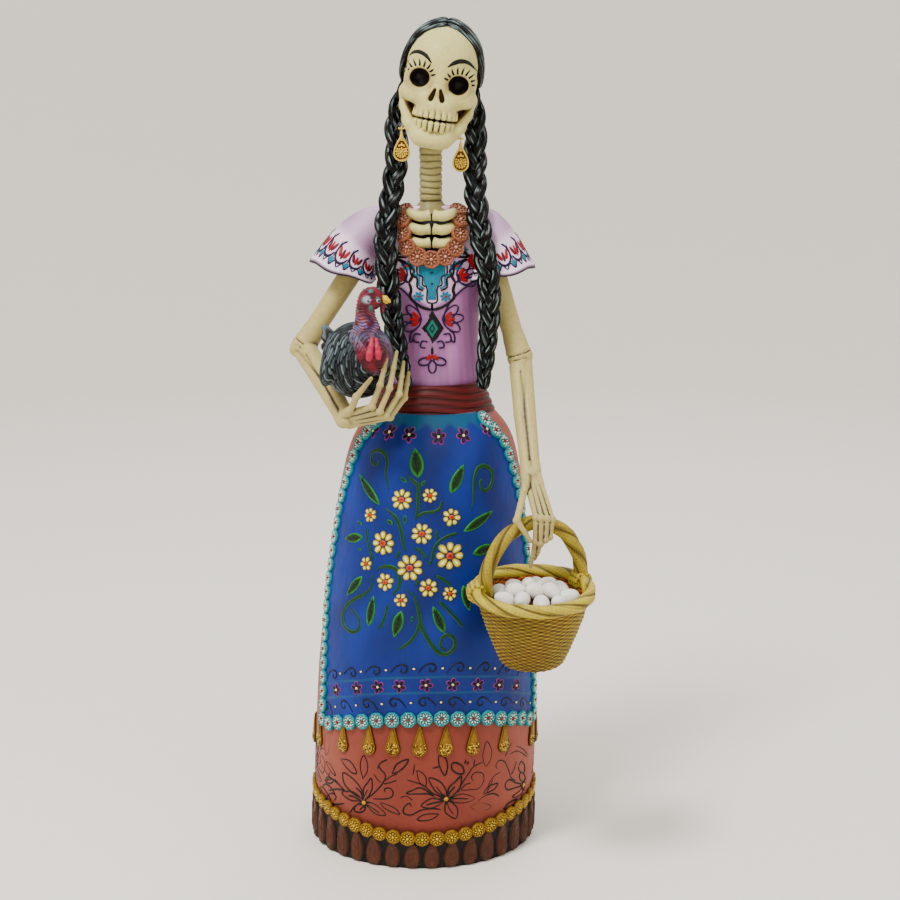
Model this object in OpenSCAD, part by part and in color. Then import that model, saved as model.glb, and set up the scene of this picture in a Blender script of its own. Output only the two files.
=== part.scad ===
// Catrina figure in papier-mache: a skeleton woman in folk dress, holding a turkey and an egg basket.
// The base rests on z = 0, the front faces -Y, and left and right are the figure's own (+X is her left).

/* [Skirt] */
// Radius of the skirt at the floor
hem_r = 81.4; // [80:0.1:83]
// Height of the skirt up to the waist
skirt_h = 330; // [326:1:334]
// Thickness of the papier-mache shell
wall = 3; // [2:0.5:4]
// Sideways lean of the figure for each millimetre of height
lean = 0.0255; // [0:0.0005:0.03]
// Thickness of the apron
apron_t = 1.2; // [0.8:0.1:1.5]
// Half of the angle that the apron covers
apron_half_angle = 69; // [60:1:75]
// Radius of one lace rosette
rosette_r = 5.2; // [4.5:0.1:5.4]
// Number of carved petals round the hem
petal_count = 36; // [30:1:40]

/* [Body] */
// Half of the blouse's width at the waist
waist_half_w = 34; // [32:0.5:35]
// Radius of the neck bones
neck_r = 8.6; // [8:0.1:9.5]
// Number of neck bones
neck_bone_count = 9; // [7:1:10]
// Sideways tilt of the head, in degrees
head_roll = 9; // [6:1:11]
// Radius of each braid
braid_r = 8; // [7:0.5:8.5]

/* [Basket] */
// Radius of the rim's centre line
rim_r = 39.5; // [38:0.5:40]
// Thickness of the twisted rim and handle
rope_r = 4.3; // [4:0.1:4.8]
// Depth of the basket below its rim
basket_depth = 53; // [48:1:55]
// Radius of the basket's floor
basket_floor_r = 23; // [20:0.5:25]
// Height of the handle above the rim
handle_h = 47.3; // [45:0.1:50]
// How far the mouth tips towards the front, in degrees
basket_tip = 7; // [4:1:9]
// Turn of the handle about the vertical, in degrees
handle_yaw = 18; // [10:1:22]

/* [Hidden] */

// Outside radius of the skirt at each height
skirt_profile = [
    [0, hem_r], [28, hem_r + 0.4], [50, hem_r + 1.8], [80, hem_r + 1.7], [120, hem_r + 0.4],
    [160, hem_r - 1.9], [200, hem_r - 5.2], [236, hem_r - 9.3], [273, hem_r - 14.4],
    [300, hem_r - 20.2], [316, hem_r - 27.7], [skirt_h, hem_r - 39.7]
];
// Clearance between the skirt and what lies on it
gap = 0.05;
// Thickness of one rosette
bead_h = 1.6;
apron_yaw = 4;
apron_top = 328;
apron_front_z = 113;
apron_corner_drop = 20;

// The blouse's cross-sections: height, half width, half depth
bodice_sections = [
    [326, waist_half_w + 2, 30], [347, waist_half_w, 26], [388, waist_half_w, 27.5],
    [410, waist_half_w + 1.5, 30.5], [430, waist_half_w + 3.5, 31], [445, waist_half_w + 6, 29],
    [457, waist_half_w + 7, 24.5], [466, waist_half_w + 3, 20], [472, 27, 15], [476, 15, 11]
];
body_x = 8;
neck_foot = [7, -1, 476];
neck_top = [6.8, -6, 519];
head_at = [6.8, -6, 520];

// Joints of the arm that carries the basket
shoulder_l = [46, 0, 452];
elbow_l = [71.5, -20, 368];
wrist_l = [78, -76, 294];
// Joints of the arm that carries the turkey
shoulder_r = [-34, 0, 454];
elbow_r = [-86, -12, 375];
wrist_r = [-52, -72, 332];

// Each finger runs from the wrist side to the tip, index finger first
knuckles_l = [[80.5, -109, 270], [84, -110, 269.5], [87.8, -109.5, 269], [91.5, -108, 268.5]];
finger_joints_l = [[80, -111.5, 253], [83.5, -112, 252], [87, -111, 254.5], [90, -109, 256]];
finger_ends_l = [[77, -106, 234], [80, -104, 239], [86, -98.5, 256.6], [89.5, -98, 256]];
thumb_l = [[73.5, -90, 288], [67, -111.5, 268.5], [76.5, -114.5, 254.5]];
knuckles_r = [[-33.5, -93, 345], [-28, -92, 341.5], [-24, -89, 338], [-21, -84, 336]];
finger_joints_r = [[-27.5, -95, 360.5], [-21, -92, 358], [-14.5, -87, 353], [-11, -80, 349]];
finger_ends_r = [[-23, -91, 378.5], [-16, -87, 382.5], [-11.5, -82, 374.5], [-8, -76, 366]];
thumb_r = [[-48, -82, 341.5], [-44, -92, 352], [-33.5, -100, 366]];

// Middle line of each braid, from behind the jaw to the waist
braid_line_l = [
    [37, 15, 562], [39, 8, 538], [38.5, -3, 512], [38.5, -17, 488], [42.5, -29, 459],
    [48, -35, 430], [49, -37, 400], [46.5, -38, 372], [44, -38, 348]
];
braid_line_r = [
    [-17, 15, 562], [-18, 6, 538], [-17.5, -4, 511], [-21, -17, 486], [-25, -31, 461],
    [-24, -38, 431], [-20, -40, 399], [-15, -39, 371], [-10.5, -37, 347]
];

turkey_at = [-43.5, -68, 374];
turkey_size = [25.5, 27, 27];

rim_at = [79, -103, 216];
// How far behind the rim's centre the handle stands
handle_back = 8.5;

function mix(a, b, t) = a + (b - a) * t;
function unit(v) = v / norm(v);
function lean_x(z) = lean * z;
function skirt_r(z) = lookup(z, skirt_profile);
// A point on the skirt at an angle from the front, towards her left, standing off by d
function on_skirt(angle, z, d = 0) =
    let (r = skirt_r(z) + d) [lean_x(z) + r * sin(angle), -r * cos(angle), z];
function tangent(p, i) = unit(p[min(i + 1, len(p) - 1)] - p[max(i - 1, 0)]);
function catmull(a, b, c, d, t) = 0.5 * (2 * b + (c - a) * t + (2 * a - 5 * b + 4 * c - d) * t * t
    + (3 * b - a - 3 * c + d) * t * t * t);
// A smooth curve through points p, with n steps from each to the next
function smooth(p, n) = [
    for (i = [0 : len(p) - 2], k = [0 : n - 1])
        catmull(p[max(i - 1, 0)], p[i], p[i + 1], p[min(i + 2, len(p) - 1)], k / n),
    p[len(p) - 1]
];
function section(c, t, ref, rx, ry, n) =
    let (a = unit(cross(ref, t)), b = cross(t, a))
    [for (k = [0 : n - 1]) c + rx * cos(360 * k / n) * a + ry * sin(360 * k / n) * b];

// A closed solid through sections that have n points each
module loft(rings, n) {
    last = len(rings) - 1;
    points = [for (ring = rings, p = ring) p];
    sides = [
        for (i = [0 : last - 1], k = [0 : n - 1])
            [i * n + k, (i + 1) * n + k, (i + 1) * n + (k + 1) % n, i * n + (k + 1) % n]
    ];
    first_cap = [for (k = [0 : n - 1]) k];
    last_cap = [for (k = [n - 1 : -1 : 0]) last * n + k];
    polyhedron(points, concat(sides, [first_cap, last_cap]), convexity = 6);
}

// A tube along path p; radii holds [rx, ry] for each of its points
module tube(p, radii, ref = [0, 1, 0], n = 14)
    loft([for (i = [0 : len(p) - 1]) section(p[i], tangent(p, i), ref, radii[i][0], radii[i][1], n)], n);

module bone(a, b, ra, rb, fn = 12)
    hull() {
        translate(a) sphere(ra, $fn = fn);
        translate(b) sphere(rb, $fn = fn);
    }

module egg_shape(at, size, turn = [0, 0, 0], fn = 24)
    translate(at) rotate(turn) resize(2 * size) sphere(10, $fn = fn);

module leaning()
    multmatrix([[1, 0, lean, 0], [0, 1, 0, 0], [0, 0, 1, 0]]) children();

// The space inside the skirt's outline moved out by d, between two heights
module skirt_body(z0, z1, d)
    leaning() rotate_extrude($fn = 96)
        polygon(concat(
            [[0, z0], [skirt_r(z0) + d, z0]],
            [for (p = skirt_profile) if (p[0] > z0 && p[0] < z1) [p[1] + d, p[0]]],
            [[skirt_r(z1) + d, z1], [0, z1]]
        ));

// Puts a flat ornament on the skirt, facing outwards
module on_skirt_face(angle, z, d = 0)
    translate(on_skirt(angle, z, d)) rotate([90, 0, angle]) children();

function hem_line_z(angle) = 36.6 - 12.6 * pow(max(0, cos(angle)), 2);
function drop_line_z(angle) = 80.5 + 17.6 * max(0, cos(angle));
// The drops are unevenly spaced in front, as laid by hand, and even behind
front_drops = [-70, -46, -29, -16, -2.5, 10.5, 25, 44, 72];
drop_angles = concat(front_drops, [for (i = [1 : 12]) 72 + 218 * i / 13]);
function apron_bottom_z(angle) = apron_front_z
    - apron_corner_drop * (1 - cos(angle)) / (1 - cos(apron_half_angle));

module base_board() color("burlywood")
    cylinder(h = 8, r = hem_r - wall - 1, $fn = 96);

module centre_post() color("burlywood")
    leaning() translate([0, 0, 8]) cylinder(h = 316, r = 8.5, $fn = 48);

module arm_wire() color("dimgray") union() {
    bone(shoulder_r, shoulder_l, 1.5, 1.5, 8);
    bone(shoulder_r, elbow_r, 1.5, 1.5, 8);
    bone(elbow_r, wrist_r, 1.5, 1.5, 8);
    bone(shoulder_l, elbow_l, 1.5, 1.5, 8);
    bone(elbow_l, wrist_l, 1.5, 1.5, 8);
}

module along_neck(t)
    translate(mix(neck_foot, neck_top, t)) rotate([6.6, 0, 0]) children();

module neck_wire() color("dimgray")
    along_neck(-0.3) cylinder(h = 75, r = 2, $fn = 24);

// A shell that follows the skirt between two heights, from d_in to d_out off its surface
module skirt_layer(z0, z1, d_in, d_out) {
    levels = concat([z0], [for (p = skirt_profile) if (p[0] > z0 && p[0] < z1) p[0]], [z1]);
    last = len(levels) - 1;
    leaning() rotate_extrude($fn = 180)
        polygon(concat(
            [for (z = levels) [skirt_r(z) + d_out, z]],
            [for (i = [last : -1 : 0]) [skirt_r(levels[i]) + d_in, levels[i]]]
        ));
}

module skirt_shell() color("indianred") skirt_layer(0, skirt_h, -wall, 0);

module hem_band() color("saddlebrown") skirt_layer(0.6, 27, gap, 1);

module petal_outline()
    polygon([for (t = [0 : 20 : 340]) [5.9 * sin(t) * (1 - 0.38 * cos(t)), 10.5 * cos(t)]]);

module hem_petals() color("sienna")
    for (i = [0 : petal_count - 1])
        let (angle = 360 * (i + 0.5) / petal_count)
            on_skirt_face(angle, 10.8, 1.1) linear_extrude(2.2) petal_outline();

module rosette() cylinder(h = bead_h, r = rosette_r, $fn = 32);

module hem_rosettes() color("goldenrod")
    for (i = [0 : 49])
        let (angle = i * 360 / 50)
            on_skirt_face(angle, hem_line_z(angle), 1.1 + 2.4 * pow(max(0, cos(angle)), 2)) rosette();

module drop_outline()
    polygon(concat(
        [[0, 12.5]],
        [for (t = [-200 : 20 : 20]) [5.6 * cos(t), -6 + 5.6 * sin(t)]]
    ));

module skirt_drops() color("goldenrod")
    for (angle = drop_angles)
        on_skirt_face(angle, drop_line_z(angle), 0.3) linear_extrude(1.8) drop_outline();

// The apron's wedge of the skirt, with its hem higher in the middle
module apron_panel() color("mediumblue") intersection() {
    skirt_layer(60, apron_top, gap, apron_t);
    rotate(apron_yaw) linear_extrude(400)
        polygon(concat(
            [[0, 0]],
            [for (a = [-apron_half_angle : 6 : apron_half_angle]) 200 * [sin(a), -cos(a)]]
        ));
    tilt = atan(apron_corner_drop / (1 - cos(apron_half_angle)) / skirt_r(apron_front_z));
    translate([0, -skirt_r(apron_front_z), apron_front_z]) rotate([-tilt, 0, 0])
        translate([-150, -50, 0]) cube([300, 300, 320]);
}

module apron_side_lace(side)
    for (i = [0 : 19])
        let (z = apron_bottom_z(apron_half_angle) + 3 + i * 11.1,
            angle = apron_yaw + side * (apron_half_angle - 9 * pow(i / 19, 4)))
            on_skirt_face(angle, z, 1.9) rosette();

module apron_lace_left() color("turquoise") apron_side_lace(1);

module apron_lace_right() color("turquoise") apron_side_lace(-1);

module apron_lace_bottom() color("turquoise")
    for (i = [0 : 15])
        let (angle = mix(-apron_half_angle + 8.5, apron_half_angle - 8.5, i / 15))
            on_skirt_face(apron_yaw + angle, apron_bottom_z(angle) + 2, 1.9) rosette();

module waist_sash() color("firebrick") difference() {
    translate([body_x, 0, 0]) tube(
        [[0, 0, 323], [0, 0, 330], [0, 0, 338], [0, 0, 348]],
        [[46, 42], [43, 38], [40.5, 34], [37.5, 30]], n = 40
    );
    translate([body_x, 0, 0]) tube(
        [[0, 0, 320], [0, 0, 326], [0, 0, 334], [0, 0, 350]],
        [[45, 42], [42, 37], [36.5, 30.5], [34.6, 26.9]], n = 40
    );
    skirt_body(300, skirt_h, 0.2);
}

module bodice_body(inset)
    translate([body_x, 0, 0]) tube(
        [for (s = bodice_sections) [0, 0, s[0]]],
        [for (s = bodice_sections) [s[1] - inset, s[2] - inset]], n = 40
    );

module neckline()
    translate([body_x - 0.5, -8, 462]) rotate([90, 0, 0]) linear_extrude(40)
        polygon(concat(
            [[24, 30], [-24, 30]],
            [for (t = [180 : 20 : 360]) [17.5 * cos(t), 17 * sin(t)]]
        ));

module bodice() color("plum") difference() {
    bodice_body(0);
    neckline();
}

module chest_core() color("black") intersection() {
    bodice_body(5);
    neckline();
}

// A flared cap sleeve: its rings turn from upright at the shoulder to nearly level at the hem.
// Each ring holds its centre's x and z, its half width and half depth, and its turn from upright.
function sleeve_rings(rings, side, inset, drop) = [
    for (r = rings)
        let (c = [body_x + side * r[0], -2 - 4 * r[4] / 90, r[1] - drop], w = r[2] - inset, d = r[3] - inset)
            [for (k = [0 : 23]) c + w * cos(15 * k) * [side * sin(r[4]), 0, cos(r[4])]
                - side * d * sin(15 * k) * [0, 1, 0]]
];

module sleeve(rings, side) difference() {
    loft(sleeve_rings(rings, side, 0, 0), 24);
    loft(sleeve_rings(rings, side, 2.2, 1.2), 24);
}

module sleeve_left() color("plum")
    sleeve([[31, 462, 13, 14, 0], [37, 459, 16, 17, 28], [42, 451, 18, 20, 50],
        [46, 440, 21, 23, 68], [49, 428, 25, 25, 80]], 1);

module sleeve_right() color("plum")
    sleeve([[33, 463, 13, 14, 0], [42, 460, 16, 17, 24], [52, 452, 18, 20, 44],
        [59, 441, 21, 23, 60], [65, 429, 24.5, 25, 72]], -1);

// Lace rosettes round the neckline, lying on the chest at the front and on the shoulders at the ends
module collar_lace() color("peru")
    for (i = [0 : 16])
        let (t = mix(-1, 1, i / 16), angle = 112 * t)
            translate([body_x - 0.5 + 20.5 * sin(angle), mix(-31.5, -9, t * t), 458.5 - 18 * cos(angle) + 3 * t * t])
                rotate([82 - 42 * t * t, 0, 28 * t]) cylinder(h = 2, r = 4.9, $fn = 48);

module ribs(side)
    for (i = [0 : 2])
        let (z = 471.5 - 9.8 * i)
            tube(
                smooth([[0.6, -25.5, 0], [8, -26.5, -1.2], [15, -22, 0.5], [18, -13, 2]], 3)
                    * [[side, 0, 0], [0, 1, 0], [0, 0, 1]] + [for (k = [0 : 9]) [body_x, 0, z]],
                [for (k = [0 : 9]) [4, 4]], ref = [0, 0, 1], n = 10
            );

module ribs_left() color("antiquewhite") ribs(1);

module ribs_right() color("antiquewhite") ribs(-1);

module neck_bones() color("antiquewhite")
    for (i = [0 : neck_bone_count - 1])
        let (pitch = 42 / neck_bone_count, r = neck_r + (i == 0 ? 3 : 0))
            along_neck(i / neck_bone_count) difference() {
                cylinder(h = pitch - 0.3, r = r, $fn = 32);
                translate([0, 0, -1]) cylinder(h = pitch + 2, r = 2.05, $fn = 24);
            }

// The head's own frame: chin at the origin, face towards -Y
module head_frame()
    translate(head_at) rotate([0, head_roll, 0]) children();

module skull() color("antiquewhite") head_frame() difference() {
    union() {
        egg_shape([0, 4, 54], [27, 35, 32.5]);
        hull() {
            translate([0, -18, 60]) sphere(14, $fn = 20);
            translate([-17, -17, 52]) sphere(9, $fn = 20);
            translate([17, -17, 52]) sphere(9, $fn = 20);
            translate([0, -24, 34]) sphere(9, $fn = 20);
        }
        for (side = [-1, 1]) {
            bone([side * 20, -20, 34], [side * 24, 0, 34], 5.5, 4);
            bone([side * 20, -20, 34], [side * 9, -27, 31], 5.5, 4);
            bone([side * 24, 0, 34], [side * 20, 8, 26], 4, 5);
        }
        hull() {
            translate([0, -26, 27]) sphere(8, $fn = 20);
            translate([0, -18, 23]) sphere(12, $fn = 20);
        }
        translate([0, 6, 24]) cylinder(h = 20, r = 13, $fn = 24);
    }
    for (side = [-1, 1])
        egg_shape([side * 14, -36, 47], [6.6, 12, 6.6], fn = 20);
    egg_shape([0, -38, 35], [4, 6, 5], fn = 16);
    translate([0, 0, 10.5]) cube([60, 90, 16], center = true);
}

module jaw() color("antiquewhite") head_frame() difference() {
    union() {
        hull() {
            translate([-8, -27, 7]) sphere(6.5, $fn = 16);
            translate([8, -27, 7]) sphere(6.5, $fn = 16);
            translate([0, -24, 13]) sphere(8, $fn = 16);
        }
        for (side = [-1, 1]) {
            bone([side * 9, -26, 8], [side * 20, -6, 17], 7, 4.5);
            bone([side * 20, -6, 17], [side * 23.5, 2, 29], 4.5, 3.4);
        }
    }
    translate([0, -18, 23.8]) cube([36, 60, 10], center = true);
}

module tooth_row(count, r, z, h, wide)
    for (i = [0 : count - 1])
        let (angle = mix(-48, 48, (i + 0.5) / count))
            translate([r * sin(angle), -12 - (r + 7) * cos(angle), z])
                scale([wide, 0.8, 1]) cylinder(h = h, r = 1.9, $fn = 16);

module upper_teeth() color("ivory") head_frame() tooth_row(9, 14.5, 19, 7.5, 0.98);

module lower_teeth() color("ivory") head_frame() tooth_row(9, 14.2, 12, 6.6, 0.94);

module hair_cap() color("black") head_frame() difference() {
    egg_shape([0, 5.5, 54.5], [29.5, 37, 35.4], fn = 32);
    egg_shape([0, 4, 54], [27, 35, 32.5]);
    translate([0, 0, 20]) cube([80, 100, 24], center = true);
    translate([0, -2, 44]) rotate([90, 0, 0]) linear_extrude(50)
        polygon([for (t = [-90 : 10 : 260]) [25.5 * cos(t), t > 0 && t < 180 ? 38.5 * sin(t) : 24 * sin(t)]]);
}

module braid(line) {
    p = smooth(line, 6);
    n = len(p) - 1;
    radii = [for (i = [0 : n])
        let (taper = i < 6 ? 0.7 + 0.05 * i : i > n - 14 ? 1 - 0.55 * (i - n + 14) / 14 : 1,
            r = braid_r * taper * (1 + 0.07 * cos(i * 150))) [r, 0.8 * r]];
    tube(p, radii, n = 12);
}

module braid_left() color("black") braid(braid_line_l);

module braid_right() color("black") braid(braid_line_r);

module upper_arm_left() color("antiquewhite")
    tube([shoulder_l, mix(shoulder_l, elbow_l, 0.5), elbow_l + [0, 0, 3], elbow_l],
        [[8.6, 8.6], [8, 8], [8, 8], [6.5, 6.5]], n = 16);

module upper_arm_right() color("antiquewhite")
    tube([shoulder_r, mix(shoulder_r, elbow_r, 0.5), elbow_r + [0.8, 0, 1.5], elbow_r],
        [[8.6, 8.6], [8.4, 8.4], [8.2, 8.2], [7, 7]], n = 16);

// Two bones side by side
module forearm(elbow, wrist, offset) {
    hull() {
        translate(elbow + offset * 0.4) sphere(8, $fn = 16);
        translate(mix(elbow, wrist, 0.5) + offset) sphere(5.4, $fn = 16);
    }
    hull() {
        translate(mix(elbow, wrist, 0.5) + offset) sphere(5.4, $fn = 16);
        translate(wrist + offset * 0.6) sphere(5.6, $fn = 16);
    }
    hull() {
        translate(elbow - offset * 0.8) sphere(5.5, $fn = 16);
        translate(wrist - offset * 0.8) sphere(4.6, $fn = 16);
    }
}

module forearm_left() color("antiquewhite") forearm(elbow_l, wrist_l, [-3.4, 0, -0.5]);

module forearm_right() color("antiquewhite") forearm(elbow_r, wrist_r, [2.8, 0, 2.8]);

module palm(wrist, spread, knuckles, thumb) {
    for (i = [0 : 3])
        bone(wrist + (i - 1.5) * spread, knuckles[i], 3.2, 2.7);
    bone(wrist - 1.5 * spread, thumb[0], 3.4, 3);
    bone(thumb[0], thumb[1], 2.6, 2.9);
    for (i = [0 : 2])
        bone(wrist + (i - 1) * spread, mix(wrist, knuckles[i], 0.4), 4.6, 3.2);
}

module palm_left() color("antiquewhite") palm(wrist_l, [2.6, 0, 0], knuckles_l, thumb_l);

module palm_right() color("antiquewhite") palm(wrist_r, [1.4, 0, -2.2], knuckles_r, thumb_r);

module fingers(knuckles, joints, ends, thumb) {
    for (i = [0 : 3]) {
        bone(knuckles[i], joints[i], 2.3, 2.6, 10);
        bone(joints[i], ends[i], 2.5, 1.5, 10);
    }
    bone(thumb[1], thumb[2], 2.8, 1.9, 10);
}

module fingers_left() color("antiquewhite")
    fingers(knuckles_l, finger_joints_l, finger_ends_l, thumb_l);

module fingers_right() color("antiquewhite")
    fingers(knuckles_r, finger_joints_r, finger_ends_r, thumb_r);

module turkey_body() color("darkslategray")
    egg_shape(turkey_at, turkey_size);

module turkey_wings() color("dimgray") union() {
    egg_shape(turkey_at + [-19, -2, -1], [7, 22, 19], [0, 18, 12], fn = 20);
    egg_shape(turkey_at + [16, 10, 0], [7, 20, 18], [0, -18, -12], fn = 20);
}

module turkey_tail() color("darkslategray") union() {
    for (a = [-24, 0, 24])
        hull() {
            translate(turkey_at + [-16, 14, 8]) sphere(7, $fn = 14);
            translate(turkey_at + [-27 + 0.1 * abs(a), 24 + 0.2 * a, 15 + 0.25 * a]) sphere(3.5, $fn = 14);
        }
}

module turkey_neck() color("crimson")
    tube(smooth([turkey_at + [7, -13, 14], turkey_at + [8.5, -20, 24], turkey_at + [8, -22, 34],
            turkey_at + [8.5, -22, 42], turkey_at + [13, -23, 48], turkey_at + [18, -23.5, 45]], 3),
        [for (r = [12, 11, 9.6, 8.4, 7.6, 7, 6.6, 6.4, 6.6, 7.6, 8.4, 8.8, 8.6, 7.4, 5.6, 3]) [r, r]], n = 16);

module turkey_beak() color("gold")
    hull() {
        translate(turkey_at + [18, -23.6, 46.5]) sphere(2.4, $fn = 14);
        translate(turkey_at + [22.6, -24, 44]) sphere(0.8, $fn = 14);
    }

module turkey_breast() color("firebrick") difference() {
    egg_shape(turkey_at + [9.5, -15, 8], [14, 14, 17], fn = 20);
    egg_shape(turkey_at, turkey_size);
}

module turkey_wattle() color("crimson") union() {
    bone(turkey_at + [10, -29.5, 16], turkey_at + [8.5, -31.5, 6], 2.2, 2.8);
    bone(turkey_at + [14, -29, 15], turkey_at + [14.5, -30.5, 7], 2, 2.6);
}

// Where each earring turns, just under the corner of the jaw
earring_at_l = [28.4, -17, 525];
earring_at_r = [-13.6, -17, 532.4];
pin_len = 5;
eye_r = 1.7;

// A bent wire: its stem goes up into the jaw and its level part carries the earring's eye
module earring_pin(at, side) translate(at) {
    rotate([0, 90, 0]) cylinder(h = pin_len, r = 0.6, center = true, $fn = 24);
    translate([-side * pin_len / 2, 0, -0.5]) cylinder(h = 8, r = 0.75, $fn = 24);
    translate([side * pin_len / 2, 0, 0]) sphere(0.95, $fn = 24);
}

module earring_pin_left() color("goldenrod") earring_pin(earring_at_l, 1);

module earring_pin_right() color("goldenrod") earring_pin(earring_at_r, -1);

// A drop with an eye that turns on the pin
module earring(at) translate(at) {
    rotate([0, 90, 0]) difference() {
        cylinder(h = 1.4, r = eye_r, center = true, $fn = 24);
        cylinder(h = 3, r = 0.66, center = true, $fn = 24);
    }
    translate([0, 0, -4.2]) cube([1.2, 1.2, 5.8], center = true);
    translate([0, 1.3, -15.2]) rotate([90, 0, 0]) scale(0.93) linear_extrude(2.8) drop_outline();
}

module earring_left() color("goldenrod") earring(earring_at_l);

module earring_right() color("goldenrod") earring(earring_at_r);

// The basket's own frame: rim centre at the origin, tipped towards the front
module basket_frame()
    translate(rim_at) rotate([basket_tip, 0, 0]) children();

module basket_shell() color("khaki") basket_frame() rotate_extrude($fn = 64)
    polygon([
        [0, -basket_depth], [basket_floor_r - 2, -basket_depth], [basket_floor_r, -basket_depth + 2],
        [rim_r - 3.5, -18], [rim_r, -2], [rim_r - 3, -2], [rim_r - 7, -18],
        [basket_floor_r - 3, -basket_depth + 4], [0, -basket_depth + 4]
    ]);

module basket_rim() color("darkkhaki") basket_frame() rotate_extrude($fn = 64)
    translate([rim_r, 0]) circle(rope_r, $fn = 24);

module basket_handle() color("darkkhaki") basket_frame() rotate(handle_yaw)
    tube([for (t = [0 : 9 : 180]) [3.5 - (rim_r - 3.5) * cos(t), handle_back, 2 + (handle_h - 2) * sin(t)]],
        [for (t = [0 : 9 : 180]) [rope_r + 0.6, rope_r + 0.6]], ref = [0, 1, 0], n = 16);

// The top layer of eggs, lying on a heaped filling: x, y, height and turn of each
egg_drop = 5;
egg_places = [
    [-22, -9, -4, 20], [-9, -14, -2, 70], [6, -19, -4, 100], [19, -15, -4, 60], [27, -3, -4, 10],
    [14, -3, 0, 140], [1, -4, 1, 40], [-13, 0, 0, 160], [-25, 6, -5, 100], [-3, 11, 0, 80],
    [11, 13, -1, 20], [22, 11, -4, 130], [-14, 14, -3, 40], [4, 24, -5, 100]
];

module eggs() color("ivory") basket_frame() union() {
    for (e = egg_places)
        translate([e[0], e[1], e[2] - egg_drop]) rotate([0, 8, e[3]]) hull() {
            translate([-2.5, 0, 0]) sphere(5.8, $fn = 10);
            translate([3.2, 0, 0]) sphere(4.6, $fn = 10);
        }
    translate([0, 0, -28]) cylinder(h = 18, r1 = 24, r2 = 30, $fn = 32);
}

base_board();
centre_post();
arm_wire();
neck_wire();
skirt_shell();
hem_band();
hem_petals();
hem_rosettes();
skirt_drops();
apron_panel();
apron_lace_left();
apron_lace_right();
apron_lace_bottom();
waist_sash();
bodice();
sleeve_left();
sleeve_right();
collar_lace();
chest_core();
ribs_left();
ribs_right();
neck_bones();
skull();
jaw();
upper_teeth();
lower_teeth();
hair_cap();
braid_left();
braid_right();
upper_arm_left();
forearm_left();
palm_left();
fingers_left();
upper_arm_right();
forearm_right();
palm_right();
fingers_right();
turkey_body();
turkey_wings();
turkey_tail();
turkey_neck();
turkey_beak();
turkey_breast();
turkey_wattle();
earring_pin_left();
earring_pin_right();
earring_left();
earring_right();
basket_shell();
basket_rim();
basket_handle();
eggs();
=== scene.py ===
"""Looks of the papier-mache catrina figure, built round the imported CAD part. Lengths are in millimetres
until a mesh is made; the front faces -Y and left is the figure's own left (+X)."""
import math

import bpy
import numpy as np
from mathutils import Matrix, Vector


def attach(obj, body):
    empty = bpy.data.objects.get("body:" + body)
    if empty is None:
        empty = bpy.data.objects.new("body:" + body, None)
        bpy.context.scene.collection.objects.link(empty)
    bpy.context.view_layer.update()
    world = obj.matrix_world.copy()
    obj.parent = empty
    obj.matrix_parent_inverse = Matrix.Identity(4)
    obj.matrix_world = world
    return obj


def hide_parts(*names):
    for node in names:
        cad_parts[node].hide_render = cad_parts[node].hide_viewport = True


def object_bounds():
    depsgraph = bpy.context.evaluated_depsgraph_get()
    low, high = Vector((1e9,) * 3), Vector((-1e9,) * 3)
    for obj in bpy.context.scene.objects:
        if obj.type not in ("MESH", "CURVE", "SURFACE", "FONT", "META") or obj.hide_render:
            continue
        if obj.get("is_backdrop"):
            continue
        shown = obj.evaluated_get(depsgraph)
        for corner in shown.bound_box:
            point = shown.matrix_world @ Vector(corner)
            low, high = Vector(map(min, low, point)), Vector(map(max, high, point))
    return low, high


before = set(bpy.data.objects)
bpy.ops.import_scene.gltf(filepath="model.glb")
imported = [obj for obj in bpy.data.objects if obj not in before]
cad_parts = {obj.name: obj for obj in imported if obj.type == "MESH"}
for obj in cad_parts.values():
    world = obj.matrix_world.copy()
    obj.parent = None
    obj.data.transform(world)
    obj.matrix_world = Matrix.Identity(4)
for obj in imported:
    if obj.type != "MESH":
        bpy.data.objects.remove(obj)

CAD_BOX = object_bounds()
RNG = np.random.default_rng(11)
MM = 0.001
# The skirt's middle line moves this many millimetres to her left for each millimetre up
LEAN = 0.0255


# ---------- colours and materials ----------

# Colours are raised to this power, because the renderer's soft contrast makes them paler
DEEPEN = 1.6


def rgb(text):
    """Linear colour of an #rrggbb string, deepened a little for the renderer's soft contrast."""
    values = [int(text[i:i + 2], 16) / 255 for i in (1, 3, 5)]
    return np.array([v / 12.92 if v < 0.04045 else ((v + 0.055) / 1.055) ** 2.4 for v in values]) ** DEEPEN


def node(tree, kind, inputs=(), **settings):
    """A shader node; inputs are (socket, value or output socket) pairs."""
    made = tree.nodes.new(kind)
    for key, value in settings.items():
        setattr(made, key, value)
    for socket, value in inputs:
        if isinstance(value, bpy.types.NodeSocket):
            tree.links.new(value, made.inputs[socket])
        else:
            made.inputs[socket].default_value = value
    return made


def ramp(tree, value, low, high, out_low=0.0, out_high=1.0):
    inputs = [(0, value), (1, low), (2, high), (3, out_low), (4, out_high)]
    return node(tree, "ShaderNodeMapRange", inputs).outputs[0]


def tinted(tree, colour, other, amount, how="MIX"):
    made = node(tree, "ShaderNodeMix", data_type="RGBA", blend_type=how)
    for socket, value in ((0, amount), (6, colour), (7, other)):
        if isinstance(value, bpy.types.NodeSocket):
            tree.links.new(value, made.inputs[socket])
        elif socket == 0:
            made.inputs[0].default_value = value
        else:
            made.inputs[socket].default_value = (*value, 1)
    return made.outputs[2]


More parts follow.
